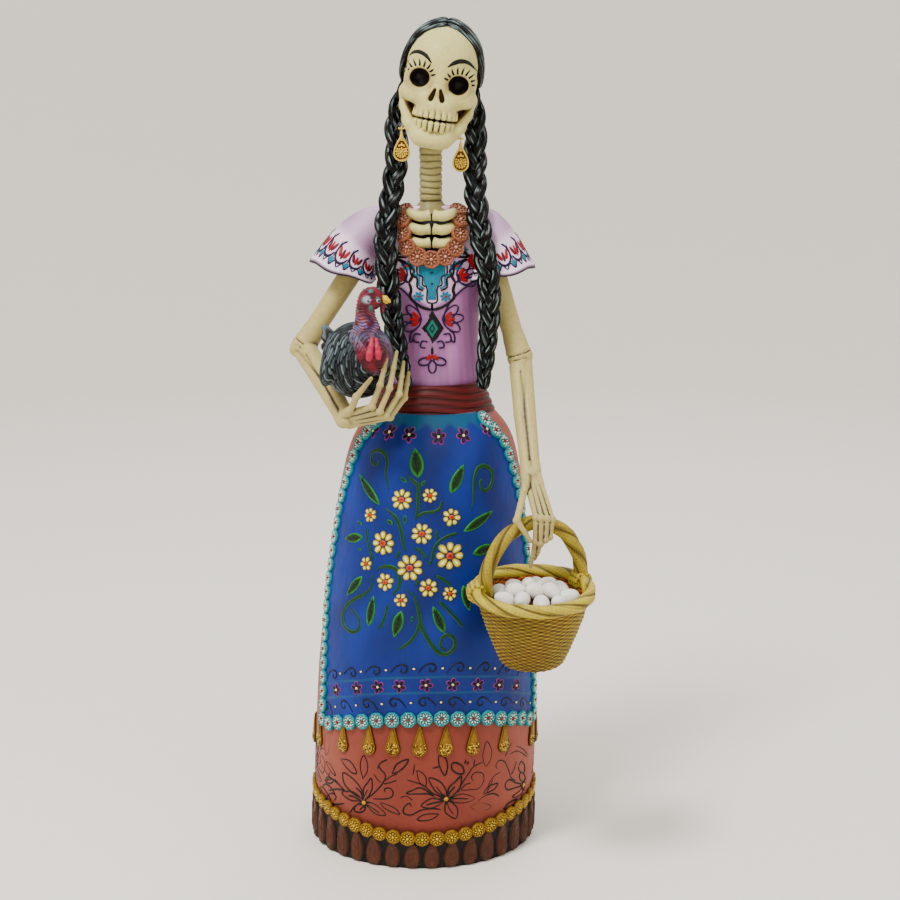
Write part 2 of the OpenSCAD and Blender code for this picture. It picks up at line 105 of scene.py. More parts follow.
def noise(tree, place, per_mm, detail=4.0, stretch=None, rough=0.6):
    """Noise with per_mm waves to a millimetre; stretch scales the axes."""
    if stretch is not None:
        place = node(tree, "ShaderNodeMapping", [(0, place), (3, stretch)]).outputs[0]
    made = node(tree, "ShaderNodeTexNoise",
                [("Vector", place), ("Scale", per_mm * 1000), ("Detail", detail),
                 ("Roughness", rough)])
    return made.outputs[0]


# Depth of the broad and of the fine bumps, in metres
LUMP_DEPTH, GRAIN_DEPTH = 0.0006, 0.0002


def finish(name, colour=None, rough=0.5, metal=0.0, coat=0.0, vary=0.14, vary_per_mm=0.05, streak=None,
           wear=None, wear_amount=0.0, grime=None, grime_amount=0.0, bump=0.25, bump_per_mm=0.9, fine=0.12,
           fine_per_mm=4.0, shine_vary=0.12, sheen=0.0, gloss=0.22):
    """A painted or natural surface. Without a colour it uses the mesh's own tint."""
    mat = bpy.data.materials.new(name)
    mat.use_nodes = True
    tree = mat.node_tree
    tree.nodes.clear()
    place = node(tree, "ShaderNodeTexCoord").outputs["Object"]
    if colour is None:
        base = node(tree, "ShaderNodeAttribute", attribute_name="tint").outputs["Color"]
    else:
        base = node(tree, "ShaderNodeRGB")
        base.outputs[0].default_value = (*rgb(colour), 1)
        base = base.outputs[0]
    broad = noise(tree, place, vary_per_mm, 5, streak)
    levels = [(k, ramp(tree, broad, 0.3, 0.7, 1 - vary, 1 + vary)) for k in range(3)]
    base = tinted(tree, base, node(tree, "ShaderNodeCombineColor", levels).outputs[0], 1.0, "MULTIPLY")
    mottle = noise(tree, place, vary_per_mm * 7, 6, streak, 0.7)
    if grime is not None:
        amount = ramp(tree, mottle, 0.5, 0.72, 0.0, grime_amount)
        base = tinted(tree, base, rgb(grime), amount)
    if wear is not None:
        spots = noise(tree, place, 0.32, 8, None, 0.75)
        base = tinted(tree, base, rgb(wear), ramp(tree, spots, 0.62, 0.7, 0.0, wear_amount))
    lumps = noise(tree, place, bump_per_mm, 3, streak)
    grains = noise(tree, place, fine_per_mm, 3, streak)
    coarse = node(tree, "ShaderNodeBump", [("Strength", bump), ("Distance", LUMP_DEPTH), ("Height", lumps)])
    normal = node(tree, "ShaderNodeBump",
                  [("Strength", fine), ("Distance", GRAIN_DEPTH), ("Height", grains),
                   ("Normal", coarse.outputs[0])]).outputs[0]
    shade = node(tree, "ShaderNodeBsdfPrincipled", [("Base Color", base), ("Normal", normal)])
    low, high = max(0.05, rough - shine_vary), min(1.0, rough + shine_vary)
    tree.links.new(ramp(tree, mottle, 0.3, 0.7, low, high), shade.inputs["Roughness"])
    shade.inputs["Metallic"].default_value = metal
    shade.inputs["Specular IOR Level"].default_value = gloss
    shade.inputs["Coat Weight"].default_value = coat
    shade.inputs["Coat Roughness"].default_value = 0.25
    shade.inputs["Sheen Weight"].default_value = sheen
    out = node(tree, "ShaderNodeOutputMaterial")
    tree.links.new(shade.outputs[0], out.inputs[0])
    return mat


# ---------- mesh making ----------

class Pile:
    """Gathers closed shapes into one mesh, with a colour at each vertex."""

    def __init__(self):
        self.points, self.faces, self.tints, self.count = [], [], [], 0

    def add(self, points, faces, tint):
        points = np.asarray(points, float).reshape(-1, 3)
        tint = np.asarray(tint, float)
        if tint.ndim == 1:
            tint = np.tile(tint, (len(points), 1))
        self.points.append(points)
        self.tints.append(tint)
        faces = [np.asarray(group, np.int64) for group in faces]
        faces = [group for group in faces if group.size]
        # Faces that look inwards are turned round
        corners = np.concatenate([group[:, [0, k, k + 1]] for group in faces
                                  for k in range(1, group.shape[1] - 1)])
        a, b, c = (points[corners[:, k]] - points.mean(0) for k in range(3))
        inside_out = np.einsum("ij,ij->", a, np.cross(b, c)) < 0
        self.faces += [(group[:, ::-1] if inside_out else group) + self.count for group in faces]
        self.count += len(points)


def make(name, pile, mat, body, slot, *replaced):
    """The pile as a Blender object that rides on a body and stands for the CAD nodes named."""
    mesh = bpy.data.meshes.new(name)
    points = np.concatenate(pile.points)
    mesh.vertices.add(len(points))
    mesh.vertices.foreach_set("co", (points * MM).astype(np.float32).ravel())
    loops = np.concatenate([f.ravel() for f in pile.faces])
    sizes = np.concatenate([np.full(len(f), f.shape[1]) for f in pile.faces])
    mesh.loops.add(len(loops))
    mesh.loops.foreach_set("vertex_index", loops.astype(np.int32))
    mesh.polygons.add(len(sizes))
    mesh.polygons.foreach_set("loop_start", (np.cumsum(sizes) - sizes).astype(np.int32))
    mesh.update(calc_edges=True)
    mesh.polygons.foreach_set("use_smooth", np.ones(len(sizes), bool))
    tints = np.concatenate(pile.tints)
    layer = mesh.color_attributes.new("tint", "FLOAT_COLOR", "POINT")
    colours = np.column_stack([np.clip(tints, 0, 1), np.ones(len(tints))])
    layer.data.foreach_set("color", colours.astype(np.float32).ravel())
    mesh.materials.append(mat)
    mesh.validate()
    piece = bpy.data.objects.new(name, mesh)
    bpy.context.scene.collection.objects.link(piece)
    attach(piece, body)
    if replaced:
        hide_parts(*replaced)
    return piece


def make_one(name, points, faces, tint, *rest):
    """An object of one closed shape; the rest is what make needs."""
    pile = Pile()
    pile.add(points, faces, tint)
    return make(name, pile, *rest)


def lattice(rows, columns):
    """Two tables, of the row values and of the column values."""
    return np.meshgrid(rows, columns, indexing="ij")


def on_circle(r, angle, z):
    """Points at distance r from the Z axis, at an angle in radians and a height."""
    return np.stack([r * np.cos(angle), r * np.sin(angle), z], -1)


def grid(rows, columns, wrap_rows=False, wrap_columns=False):
    """Quads of a grid of points numbered row by row."""
    i = np.arange(rows if wrap_rows else rows - 1)
    j = np.arange(columns if wrap_columns else columns - 1)
    i, j = [a.ravel() for a in np.meshgrid(i, j, indexing="ij")]
    i2, j2 = (i + 1) % rows, (j + 1) % columns
    return np.column_stack([i * columns + j, i * columns + j2, i2 * columns + j2, i2 * columns + j])


def skin(outer, inner, wrap=False):
    """Closed thick sheet between two grids of points; wrap joins the first and last columns."""
    rows, columns = outer.shape[:2]
    n = rows * columns
    quads = grid(rows, columns, False, wrap)
    faces = [quads, quads[:, ::-1] + n]
    edge_columns = np.arange(columns if wrap else columns - 1)
    after = (edge_columns + 1) % columns
    for row, flip in ((0, True), (rows - 1, False)):
        a, b = row * columns + edge_columns, row * columns + after
        side = np.column_stack([a, b, b + n, a + n])
        faces.append(side if not flip else side[:, ::-1])
    if not wrap:
        edge_rows = np.arange(rows - 1)
        for column, flip in ((0, False), (columns - 1, True)):
            a, b = edge_rows * columns + column, (edge_rows + 1) * columns + column
            side = np.column_stack([a, b, b + n, a + n])
            faces.append(side if not flip else side[:, ::-1])
    return np.concatenate([outer.reshape(-1, 3), inner.reshape(-1, 3)]), faces


def lofted(rings):
    """Closed solid through rings of points (rings, points, 3), with a fan of triangles at each end."""
    count, size = rings.shape[:2]
    faces = [grid(count, size, False, True)]
    points = np.concatenate([rings.reshape(-1, 3), [rings[0].mean(0), rings[-1].mean(0)]])
    k = np.arange(size)
    near = np.column_stack([(k + 1) % size, k, np.full(size, count * size)])
    far = np.column_stack([(count - 1) * size + k, (count - 1) * size + (k + 1) % size,
                           np.full(size, count * size + 1)])
    return points, faces + [near, far]


def curve(points, steps=8):
    """Smooth curve through points."""
    p = np.asarray(points, float)
    p = np.vstack([2 * p[0] - p[1], p, 2 * p[-1] - p[-2]])
    t = np.linspace(0, 1, steps, endpoint=False)[:, None]
    parts = []
    for a, b, c, d in zip(p[:-3], p[1:-2], p[2:-1], p[3:]):
        parts.append(0.5 * (2 * b + (c - a) * t + (2 * a - 5 * b + 4 * c - d) * t ** 2
                            + (3 * b - a - 3 * c + d) * t ** 3))
    return np.vstack(parts + [p[-2:-1]])


def unit(v):
    return v / np.maximum(np.linalg.norm(v, axis=-1, keepdims=True), 1e-9)


def vec(*values):
    """A point, or several points, as an array."""
    return np.array(values, float)


def same_shape(*values):
    """Numbers and arrays as arrays of one shape."""
    return np.broadcast_arrays(*(np.asarray(v, float) for v in values))


def run_along(path):
    """Distance along a path at each of its points."""
    return np.concatenate([[0], np.cumsum(np.linalg.norm(np.diff(path, axis=0), axis=1))])


def blend(a, b, amount):
    """Colour a where the amount is 0, b where it is 1."""
    amount = np.clip(amount, 0, 1)[..., None]
    return a * (1 - amount) + b * amount


def frames(path, ref=(0, 1, 0)):
    """Tangent and two side directions along a path, without twist."""
    t = unit(np.gradient(path, axis=0))
    a = np.empty_like(t)
    side = np.cross(ref, t[0])
    for i in range(len(t)):
        side = side - t[i] * (side @ t[i])
        side = side / max(np.linalg.norm(side), 1e-9)
        a[i] = side
    return t, a, np.cross(t, a)


def tube(path, radius, sides=8, flat=1.0, ref=(0, 1, 0), blunt=0.0):
    """Closed tube along a path; blunt rounds off that many of the radii at each end."""
    path = np.asarray(path, float)
    radius = np.broadcast_to(np.asarray(radius, float), (len(path),)).copy()
    if blunt:
        run = run_along(path)
        near = np.minimum(run, run[-1] - run) / (blunt * radius.max())
        radius *= np.sqrt(np.clip(1 - (1 - np.clip(near, 0, 1)) ** 2, 0.02, 1))
    _, a, b = frames(path, ref)
    angle = np.linspace(0, 2 * np.pi, sides, endpoint=False)
    rings = (path[:, None] + radius[:, None, None] * (np.cos(angle)[None, :, None] * a[:, None]
             + flat * np.sin(angle)[None, :, None] * b[:, None]))
    return lofted(rings)


def turn(points, axis, degrees):
    """Points turned about a coordinate axis, 0, 1 or 2."""
    c, s = math.cos(math.radians(degrees)), math.sin(math.radians(degrees))
    i, j = [(1, 2), (2, 0), (0, 1)][axis]
    out = np.array(points, float)
    out[..., i] = c * points[..., i] - s * points[..., j]
    out[..., j] = s * points[..., i] + c * points[..., j]
    return out


# ---------- modelling clay: a distance field on a grid ----------

def soft_min(a, b, k):
    h = np.clip(0.5 + 0.5 * (b - a) / k, 0, 1)
    return b + (a - b) * h - k * h * (1 - h)


# Distance, in millimetres, that an empty grid starts with
FAR_AWAY = 50


class Clay:
    """Solids in millimetres, added and cut with soft edges, then turned into a mesh."""

    def __init__(self, low, high, step):
        self.low, self.step = np.array(low, np.float32), step
        self.size = np.ceil((np.array(high) - np.array(low)) / step).astype(int) + 1
        self.field = np.full(self.size, FAR_AWAY, np.float32)

    def block(self, low, high):
        a = np.clip(((np.array(low) - self.low) / self.step).astype(int), 0, self.size - 1)
        b = np.clip(((np.array(high) - self.low) / self.step).astype(int) + 2, 1, self.size)
        axes = [self.low[k] + self.step * np.arange(a[k], b[k], dtype=np.float32) for k in range(3)]
        return tuple(slice(p, q) for p, q in zip(a, b)), np.stack(np.meshgrid(*axes, indexing="ij"), -1)

    def merge(self, where, distance, soft, cut):
        old = self.field[where]
        if cut:
            self.field[where] = -soft_min(-old, distance, soft)
        else:
            self.field[where] = soft_min(old, distance, soft)

    def ball(self, centre, radii, soft=2.0, cut=False, roll=None):
        """An ellipsoid; roll is (axis, degrees)."""
        centre, radii = np.array(centre, np.float32), np.array(radii, np.float32) * np.ones(3, np.float32)
        reach = radii.max() + soft * 2 + 2 * self.step
        where, p = self.block(centre - reach, centre + reach)
        q = p - centre
        if roll:
            q = turn(q, roll[0], -roll[1]).astype(np.float32)
        k0 = np.linalg.norm(q / radii, axis=-1)
        k1 = np.linalg.norm(q / radii ** 2, axis=-1) + 1e-6
        self.merge(where, k0 * (k0 - 1) / k1, soft, cut)

    def bone(self, a, b, ra, rb, soft=1.5, cut=False):
        a, b = np.array(a, np.float32), np.array(b, np.float32)
        reach = max(ra, rb) + soft * 2 + 2 * self.step
        where, p = self.block(np.minimum(a, b) - reach, np.maximum(a, b) + reach)
        along = b - a
        t = np.clip(((p - a) @ along) / float(along @ along + 1e-6), 0, 1)
        distance = np.linalg.norm(p - a - t[..., None] * along, axis=-1) - (ra + (rb - ra) * t)
        self.merge(where, distance, soft, cut)

    def line(self, points, radius, soft=1.0, cut=False):
        radius = np.broadcast_to(radius, (len(points),))
        for a, b, ra, rb in zip(points[:-1], points[1:], radius[:-1], radius[1:]):
            self.bone(a, b, float(ra), float(rb), soft, cut)

    def mesh(self):
        """Quads of the surface, one point in each grid cell that it crosses."""
        f = self.field
        n = np.array(f.shape)
        total = np.zeros((*(n - 1), 3), np.float32)
        count = np.zeros(tuple(n - 1), np.float32)
        crossings = []
        for axis in range(3):
            low, high = [slice(None)] * 3, [slice(None)] * 3
            low[axis], high[axis] = slice(None, -1), slice(1, None)
            a, b = f[tuple(low)], f[tuple(high)]
            crossed = (a < 0) != (b < 0)
            t = np.where(crossed, a / np.where(crossed, a - b, 1), 0)
            crossings.append((crossed, a < 0))
            others = [k for k in range(3) if k != axis]
            for da in (0, 1):
                for db in (0, 1):
                    pick = [slice(None)] * 3
                    pick[others[0]] = slice(da, n[others[0]] - 1 + da)
                    pick[others[1]] = slice(db, n[others[1]] - 1 + db)
                    hit = crossed[tuple(pick)]
                    count += hit
                    total[..., axis] += t[tuple(pick)]
                    total[..., others[0]] += da * hit
                    total[..., others[1]] += db * hit
        used = count > 0
        number = np.full(count.shape, -1, np.int64)
        number[used] = np.arange(used.sum())
        cell = np.argwhere(used)
        points = self.low + self.step * (cell + total[used] / count[used][:, None])
        faces = []
        for axis, (crossed, inside) in enumerate(crossings):
            u, v = [(1, 2), (2, 0), (0, 1)][axis]
            at = np.argwhere(crossed)
            at = at[(at[:, u] > 0) & (at[:, v] > 0) & (at[:, u] < n[u] - 1) & (at[:, v] < n[v] - 1)]
            corners = []
            for du, dv in ((1, 1), (0, 1), (0, 0), (1, 0)):
                c = at.copy()
                c[:, u] -= du
                c[:, v] -= dv
                corners.append(number[c[:, 0], c[:, 1], c[:, 2]])
            quad = np.column_stack(corners)
            out = inside[at[:, 0], at[:, 1], at[:, 2]]
            faces.append(np.where(out[:, None], quad, quad[:, ::-1]))
        return points.astype(float), np.concatenate(faces)


def hollowness(points, quads, rounds=6):
    """How far each point lies in a hollow, in millimetres, negative on ridges; and the normals."""
    edges = np.concatenate([quads[:, [0, 1]], quads[:, [1, 2]], quads[:, [2, 3]], quads[:, [3, 0]]])
    a, b = np.concatenate([edges[:, 0], edges[:, 1]]), np.concatenate([edges[:, 1], edges[:, 0]])
    degree = np.bincount(a, minlength=len(points))[:, None]
    normal = np.zeros_like(points)
    cross = np.cross(points[quads[:, 2]] - points[quads[:, 0]], points[quads[:, 3]] - points[quads[:, 1]])
    for k in range(4):
        for c in range(3):
            normal[:, c] += np.bincount(quads[:, k], cross[:, c], len(points))
    normal = unit(normal)
    smooth = points
    for _ in range(rounds):
        smooth = np.column_stack([np.bincount(a, smooth[b, c], len(points)) for c in range(3)]) / degree
    return ((smooth - points) * normal).sum(1), normal


# Share of the dark wash on flat places, and how fast it grows with the depth of a hollow, where it is also
# painted shade
WASH_EVERYWHERE, WASH_AND_SHADE_PER_MM = 0.12, 3.0


def washed_and_shaded(points, quads, light, dark, strength):
    """A light colour that darkens in the hollows: partly a wash like paint rubbed off the high parts, partly
    painted shade.
    """
    hollow, _ = hollowness(points, quads)
    amount = np.clip(WASH_EVERYWHERE + strength * hollow * WASH_AND_SHADE_PER_MM, 0, 1)[:, None]
    return light * (1 - amount) + dark * amount


# ---------- skirt surface and what is painted on it ----------

SKIRT = curve([(0, 81.4, 0), (28, 81.8, 0), (50, 83.2, 0), (80, 83.1, 0), (120, 81.8, 0), (160, 79.5, 0),
               (200, 76.2, 0), (236, 72.1, 0), (273, 67, 0), (300, 61.2, 0), (316, 53.7, 0),
               (330, 41.7, 0)], 6)


def skirt_r(z):
    return np.interp(z, SKIRT[:, 0], SKIRT[:, 1])


def on_skirt(angle, z, out=0.0):
    """A point on the skirt at an angle in degrees from the front, standing off by out."""
    angle, z, out = same_shape(angle, z, out)
    a, slope = np.radians(angle), (skirt_r(z + 1.5) - skirt_r(z - 1.5)) / 3
    r, size = skirt_r(z), np.sqrt(1 + slope ** 2)
    return np.stack([LEAN * z + (r + out / size) * np.sin(a), -(r + out / size) * np.cos(a),
                     z - out * slope / size], -1)


def skirt_spot(angle, z, raised=0.0):
    """Maps flat ornament coordinates (across, up, out) onto the skirt round one place."""
    def place(across, up, out):
        height = z + np.asarray(up)
        return on_skirt(angle + np.degrees(np.asarray(across) / skirt_r(height)), height,
                        np.asarray(out) + raised)
    return place


def skirt_flat(raised=0.0):
    """Maps (angle, height, out) onto the skirt."""
    return lambda angle, z, out: on_skirt(angle, z, np.asarray(out) + raised)


def stroke(pile, place, path, width, height, tint, smooth=6, scale=(1, 1), edge=None, sink=0.3):
    """A low rounded ridge along a path, like a brush stroke; scale is millimetres to a unit of each axis."""
    path = np.asarray(path, float)
    if smooth and len(path) > 2:
        path = curve(np.column_stack([path, np.zeros(len(path))]), smooth)[:, :2]
    elif len(path) == 2:
        path = path[0] + np.linspace(0, 1, 5)[:, None] * (path[1] - path[0])
    s = np.asarray(scale, float)
    direction = np.gradient(path * s, axis=0)
    direction /= np.maximum(np.linalg.norm(direction, axis=1, keepdims=True), 1e-9)
    side = np.column_stack([-direction[:, 1], direction[:, 0]]) / s
    t = np.linspace(0, 1, len(path))
    if np.isscalar(width):
        width = width * np.clip(0.35 + 2.6 * np.sqrt(t * (1 - t)), 0, 1)
    else:
        width = np.interp(t, np.linspace(0, 1, len(width)), width)
    ring = [(-1, -sink, 0), (-0.9, 0.45 * height, 0.2), (-0.45, 0.9 * height, 1), (0, height, 1),
            (0.45, 0.9 * height, 1), (0.9, 0.45 * height, 0.2), (1, -sink, 0)]
    rows = []
    for across, up, _ in ring:
        flat = path + side * (across * width / 2)[:, None]
        rows.append(place(flat[:, 0], flat[:, 1], np.full(len(path), up)))
    points, faces = lofted(np.stack(rows, 1)[:, ::-1])
    colours = np.tile(tint, (len(points), 1))
    if edge is not None:
        share = np.tile([r[2] for r in ring[::-1]], len(path))[:, None]
        colours[:len(share)] = edge * (1 - share) + tint * share
    pile.add(points, faces, colours)


def blob(pile, place, outline, height, tint, edge=None, centre=None, sink=0.3, tip=None):
    """A low domed patch inside an outline of flat points; edge and tip colour its rim and its middle."""
    outline = np.asarray(outline, float)
    middle = outline.mean(0) if centre is None else np.asarray(centre, float)
    edge = tint if edge is None else edge
    tip = tint if tip is None else tip
    rings, colours = [], []
    for size, up, colour in ((1, -sink, edge), (0.97, 0.35 * height, edge), (0.84, 0.72 * height, edge),
                             (0.66, 0.9 * height, tint), (0.35, height, tint), (0.1, height, tip)):
        flat = middle + (outline - middle) * size
        rings.append(place(flat[:, 0], flat[:, 1], np.full(len(flat), up)))
        colours.append(np.tile(colour, (len(flat), 1)))
    points, faces = lofted(np.stack(rings))
    pile.add(points, faces, np.concatenate(colours + [[edge], [tip]]))


def oval(cx, cy, rx, ry, angle=0.0, count=14, point=0.0):
    """Outline of an oval turned by angle; point sharpens its far end."""
    t = np.linspace(0, 2 * np.pi, count, endpoint=False)
    x, y = rx * np.cos(t), ry * np.sin(t) * (1 - point * np.cos(t))
    c, s = math.cos(math.radians(angle)), math.sin(math.radians(angle))
    return np.column_stack([cx + c * x - s * y, cy + s * x + c * y])


def leaf_shape(a, b, width, count=9):
    """Outline of a leaf from its stalk a to its tip b."""
    a, b = np.asarray(a, float), np.asarray(b, float)
    d = b - a
    n = np.array([-d[1], d[0]]) / np.linalg.norm(d)
    t = np.linspace(0, 1, count)
    w = width / 2 * np.sin(np.pi * t ** 0.85) ** 0.8
    one, two = a + d * t[:, None] + n * w[:, None], a + d * t[:, None] - n * w[:, None]
    return np.vstack([one, two[-2:0:-1]])


def rosette(pile, place, r, height, rim, petal, heart, petals=8, phase=0.0):
    """A round lace flower: a disc with a rolled rim, raised petals and a bead in the middle."""
    def raised(share):
        return lambda x, y, out: place(x, y, out + share * height)

    t = np.linspace(0, 2 * np.pi, 40, endpoint=False)
    rings, tints = [], []
    scallop = 1 + 0.03 * np.cos(petals * t + phase)
    # The sunken floor inside the rim is a darker copy of the rim colour: painted shade in the hollow
    dark = rim * 0.62
    for size, up, colour in ((1.0, -1.0, rim), (1.0, 0.55 * height, rim), (0.93, 0.95 * height, rim),
                             (0.84, height, rim), (0.76, 0.7 * height, dark), (0.6, 0.5 * height, dark),
                             (0.2, 0.5 * height, dark)):
        rings.append(place(size * r * scallop * np.cos(t), size * r * scallop * np.sin(t), np.full(40, up)))
        tints.append(np.tile(colour, (40, 1)))
    points, faces = lofted(np.stack(rings))
    pile.add(points, faces, np.concatenate(tints + [[rim], [dark]]))
    for k in range(petals):
        a = phase + 2 * np.pi * k / petals
        shape = oval(0.5 * r * math.cos(a), 0.5 * r * math.sin(a), 0.22 * r, 0.075 * r, math.degrees(a), 8,
                     0.3)
        blob(pile, raised(0.45), shape, 0.62 * height, petal, petal * 0.75)
        b = a + np.pi / petals
        dot = oval(0.74 * r * math.cos(b), 0.74 * r * math.sin(b), 0.07 * r, 0.07 * r, 0, 6)
        blob(pile, raised(0.6), dot, 0.45 * height, petal)
    blob(pile, raised(0.5), oval(0, 0, 0.17 * r, 0.17 * r, 0, 10), 0.85 * height, heart)


def bead(pile, centre, r, tint, around=7, up=5):
    a = np.linspace(0, 2 * np.pi, around, endpoint=False)
    b = np.linspace(0.12, np.pi - 0.12, up)
    ring = np.stack([np.outer(np.sin(b), np.cos(a)), np.outer(np.sin(b), np.sin(a)),
                     np.outer(np.cos(b), np.ones(around))], -1)
    points, faces = lofted(ring[::-1] * r + np.asarray(centre))
    pile.add(points, faces, tint)


# Painted lines on the skirt: (across, up) in millimetres from the middle of each flower
FLOWER_A = [
    [(-1.5, 2.5), (-11.5, 5.5), (-19.5, 10.5), (-20.5, 18.5), (-10, 16), (-2.5, 10), (-1, 4)],
    [(0, 3.5), (-0.5, 10.5), (3, 16), (6, 20), (7, 13), (4.5, 6.5), (1.5, 3)],
    [(-3, 0.5), (-13.5, -1), (-22, 2.5), (-11.5, 6), (-3.5, 4)],
    [(-3, -0.5), (-8.5, -5), (-9, -8.5), (-3.5, -8.5), (1, -5), (0.5, -1)],
    [(2, 1.5), (9, 0.5), (15.5, -3.5), (17.5, -7), (10, -7), (3.5, -3)],
    [(-1, 18), (-3.5, 25), (-3.5, 31.5), (-1, 36), (2, 31.5), (2.5, 25), (-1, 18.5)],
    [(22.5, 26), (26, 33.5), (34, 37.5), (32, 32.5), (27.5, 28), (22.5, 25.5)],
    [(13.5, 2.5), (19.5, 1.5), (25.5, -1), (28.5, -5), (23, -4), (16.5, -1), (13.5, 2.5)],
    [(-23.5, 28.5), (-13.5, 29), (-7, 22), (-10.5, 20.5), (-17, 23), (-23.5, 28)],
    [(2, 3), (9, 9.5), (15, 17), (17.5, 23.5), (13.5, 28), (11, 30.5)],
    [(17, 19.5), (21.5, 23.5), (26.5, 26)], [(16, 17), (21.5, 19), (26, 21)],
    [(11, 28), (13.5, 33), (18.5, 36)], [(8, 23.5), (11, 20), (14, 18)],
    [(7.5, 4.5), (15.5, 5.5), (22, 7.5), (23.5, 11.5), (21, 14.5), (17, 13.5), (17.5, 11)],
    [(-19.5, -5.5), (-31, -9.5), (-39, -9.5), (-41.5, -6), (-33.5, -1.5), (-29, -3), (-31.5, -6.5)],
    [(-16.5, 4), (-26, 8), (-36, 10), (-44, 12.5), (-52, 15)], [(-18.5, 5), (-28, 3.5), (-39.5, -1)],
    [(-44, 20.5), (-36, 20), (-29.5, 14), (-34.5, 14.5), (-44, 20)], [(-26, 8.5), (-32, 10), (-45, 5)],
    [(-1, 2.5), (-3, 7.5), (-7.5, 10)], [(-1, 2.5), (2, 8.5), (3.5, 11)], [(-2.5, 1), (-10, 2.5), (-15, 2)],
    [(0, 0), (7.5, -3), (13, -6)], [(-2.5, -1), (-8.5, -4.5), (-13.5, -11)],
    [(0.5, -1), (-1.5, -4), (-4, -6.5)],
]
FLOWER_B = [
    [(-0.5, 1), (-8.5, 7), (-13, 16.5), (-5.5, 14), (-0.5, 7.5), (0.5, 1.5)],
    [(1, 1), (2, 8.5), (7, 13), (11, 16.5), (10.5, 8.5), (6, 3), (1.5, 0)],
    [(2.5, -0.5), (9.5, 2.5), (16, 1.5), (22, -2.5), (15, -4.5), (7.5, -3.5), (2.5, -1)],
    [(-0.5, -2), (-0.5, -9.5), (3, -13.5), (8, -16), (9, -9), (5, -3.5), (1, -1.5)],
    [(-2, -1), (-9.5, 1), (-14.5, -1), (-18, -5), (-10.5, -6.5), (-3.5, -3.5)],
    [(-22, 22.5), (-20, 14), (-15.5, 10), (-15, 16.5), (-18.5, 21), (-22, 22.5)],
    [(-8.5, 2.5), (-18, 9), (-24, 7.5), (-29, 4.5), (-20.5, 4.5), (-13.5, 4.5), (-8.5, 2.5)],
    [(-2, 1), (-10, 5), (-16, 10.5), (-22, 13), (-29, 15)],
    [(9, 4), (12, 11), (17, 18), (21, 22.5), (28, 24.5)],
    [(3.5, 26.5), (4, 22), (8.5, 18.5), (13, 18.5), (11.5, 24), (6.5, 27), (3.5, 26.5)],
    [(30.5, 20.5), (28, 29), (31, 39.5), (35.5, 32.5), (35, 25), (31, 20.5)],
    [(-6.5, 33.5), (-1.5, 31.5), (0.5, 25), (-1.5, 18), (-5.5, 25.5), (-6.5, 33)],
    [(-10.5, 24), (-5.5, 25)],
    [(21, 11), (19, 14.5), (22, 17.5), (28, 16), (29.5, 10.5), (25.5, 5), (18.5, 5), (11, 5.5)],
    [(-25, -5), (-27, -3), (-30.5, -6.5), (-30.5, -11), (-25, -12), (-18, -8), (-9.5, -7), (-3.5, -8)],
    [(-21, -15.5), (-15.5, -11.5), (-5.5, -11.5), (-10.5, -15.5), (-17.5, -16.5), (-21, -15.5)],
    [(18.5, -8.5), (26, -6.5), (36.5, -11), (33.5, -13.5), (25, -12.5), (18.5, -8.5)],
    [(29, 0), (34, 4.5), (42.5, 5), (38.5, 1), (29.5, -0.5)], [(-33.5, 1), (-29, 2.5), (-24.5, -0.5)],
    [(-23.5, 27), (-24.5, 19)], [(24.5, -5), (31, -2), (38.5, -2), (44.5, -5.5)],
    [(20.5, 22.5), (21.5, 27.5)], [(13.5, 25.5), (14.5, 28.5)], [(15.5, 24.5), (16.5, 27)],
    [(-0.5, -0.5), (-4, 5), (-7.5, 10)], [(0.5, 0), (3, 5), (6.5, 9)],
    [(1.5, -0.5), (9.5, -0.5), (17.5, -2)], [(0.5, -1.5), (2.5, -7.5), (6, -12.5)],
    [(-2, -1.5), (-8.5, -2.5), (-14.5, -4)], [(18.5, 10), (14.5, 9.5), (11, 6)], [(32.5, 0), (38, 10)],
]
FLOWER_C = [
    [(2, 1), (-6, 6.5), (-6.5, 11), (0.5, 8.5), (5, 2.5)],
    [(0, 0.5), (-12, 5.5), (-20.5, 10.5), (-25, 8), (-22, 3), (-11.5, 1.5), (0, -0.5)],
    [(2, -1), (-6, -3), (-15, -4), (-12.5, -6), (-2.5, -6.5), (4, -3)],
    [(-9, 17.5), (-7.5, 13.5), (0.5, 9.5), (1.5, 14), (-4.5, 20), (-8.5, 18)],
    [(-34, 22.5), (-35.5, 25.5), (-32.5, 28.5), (-26.5, 26), (-21.5, 17.5), (-18.5, 11.5), (-12, 7)],
    [(-18.5, 14), (-14.5, 18), (-12.5, 22.5)], [(-26, 30), (-22, 35.5), (-17.5, 39.5)],
    [(-20.5, 30.5), (-11, 30), (6, 20)], [(-13.5, 35), (-2, 28.5), (6, 22)],
    [(-25, -11.5), (-18.5, -8), (-8.5, -8.5), (-14, -12), (-24, -12)],
    [(-31, 19), (-36, 18), (-40.5, 14.5), (-43, 8.5)],
]

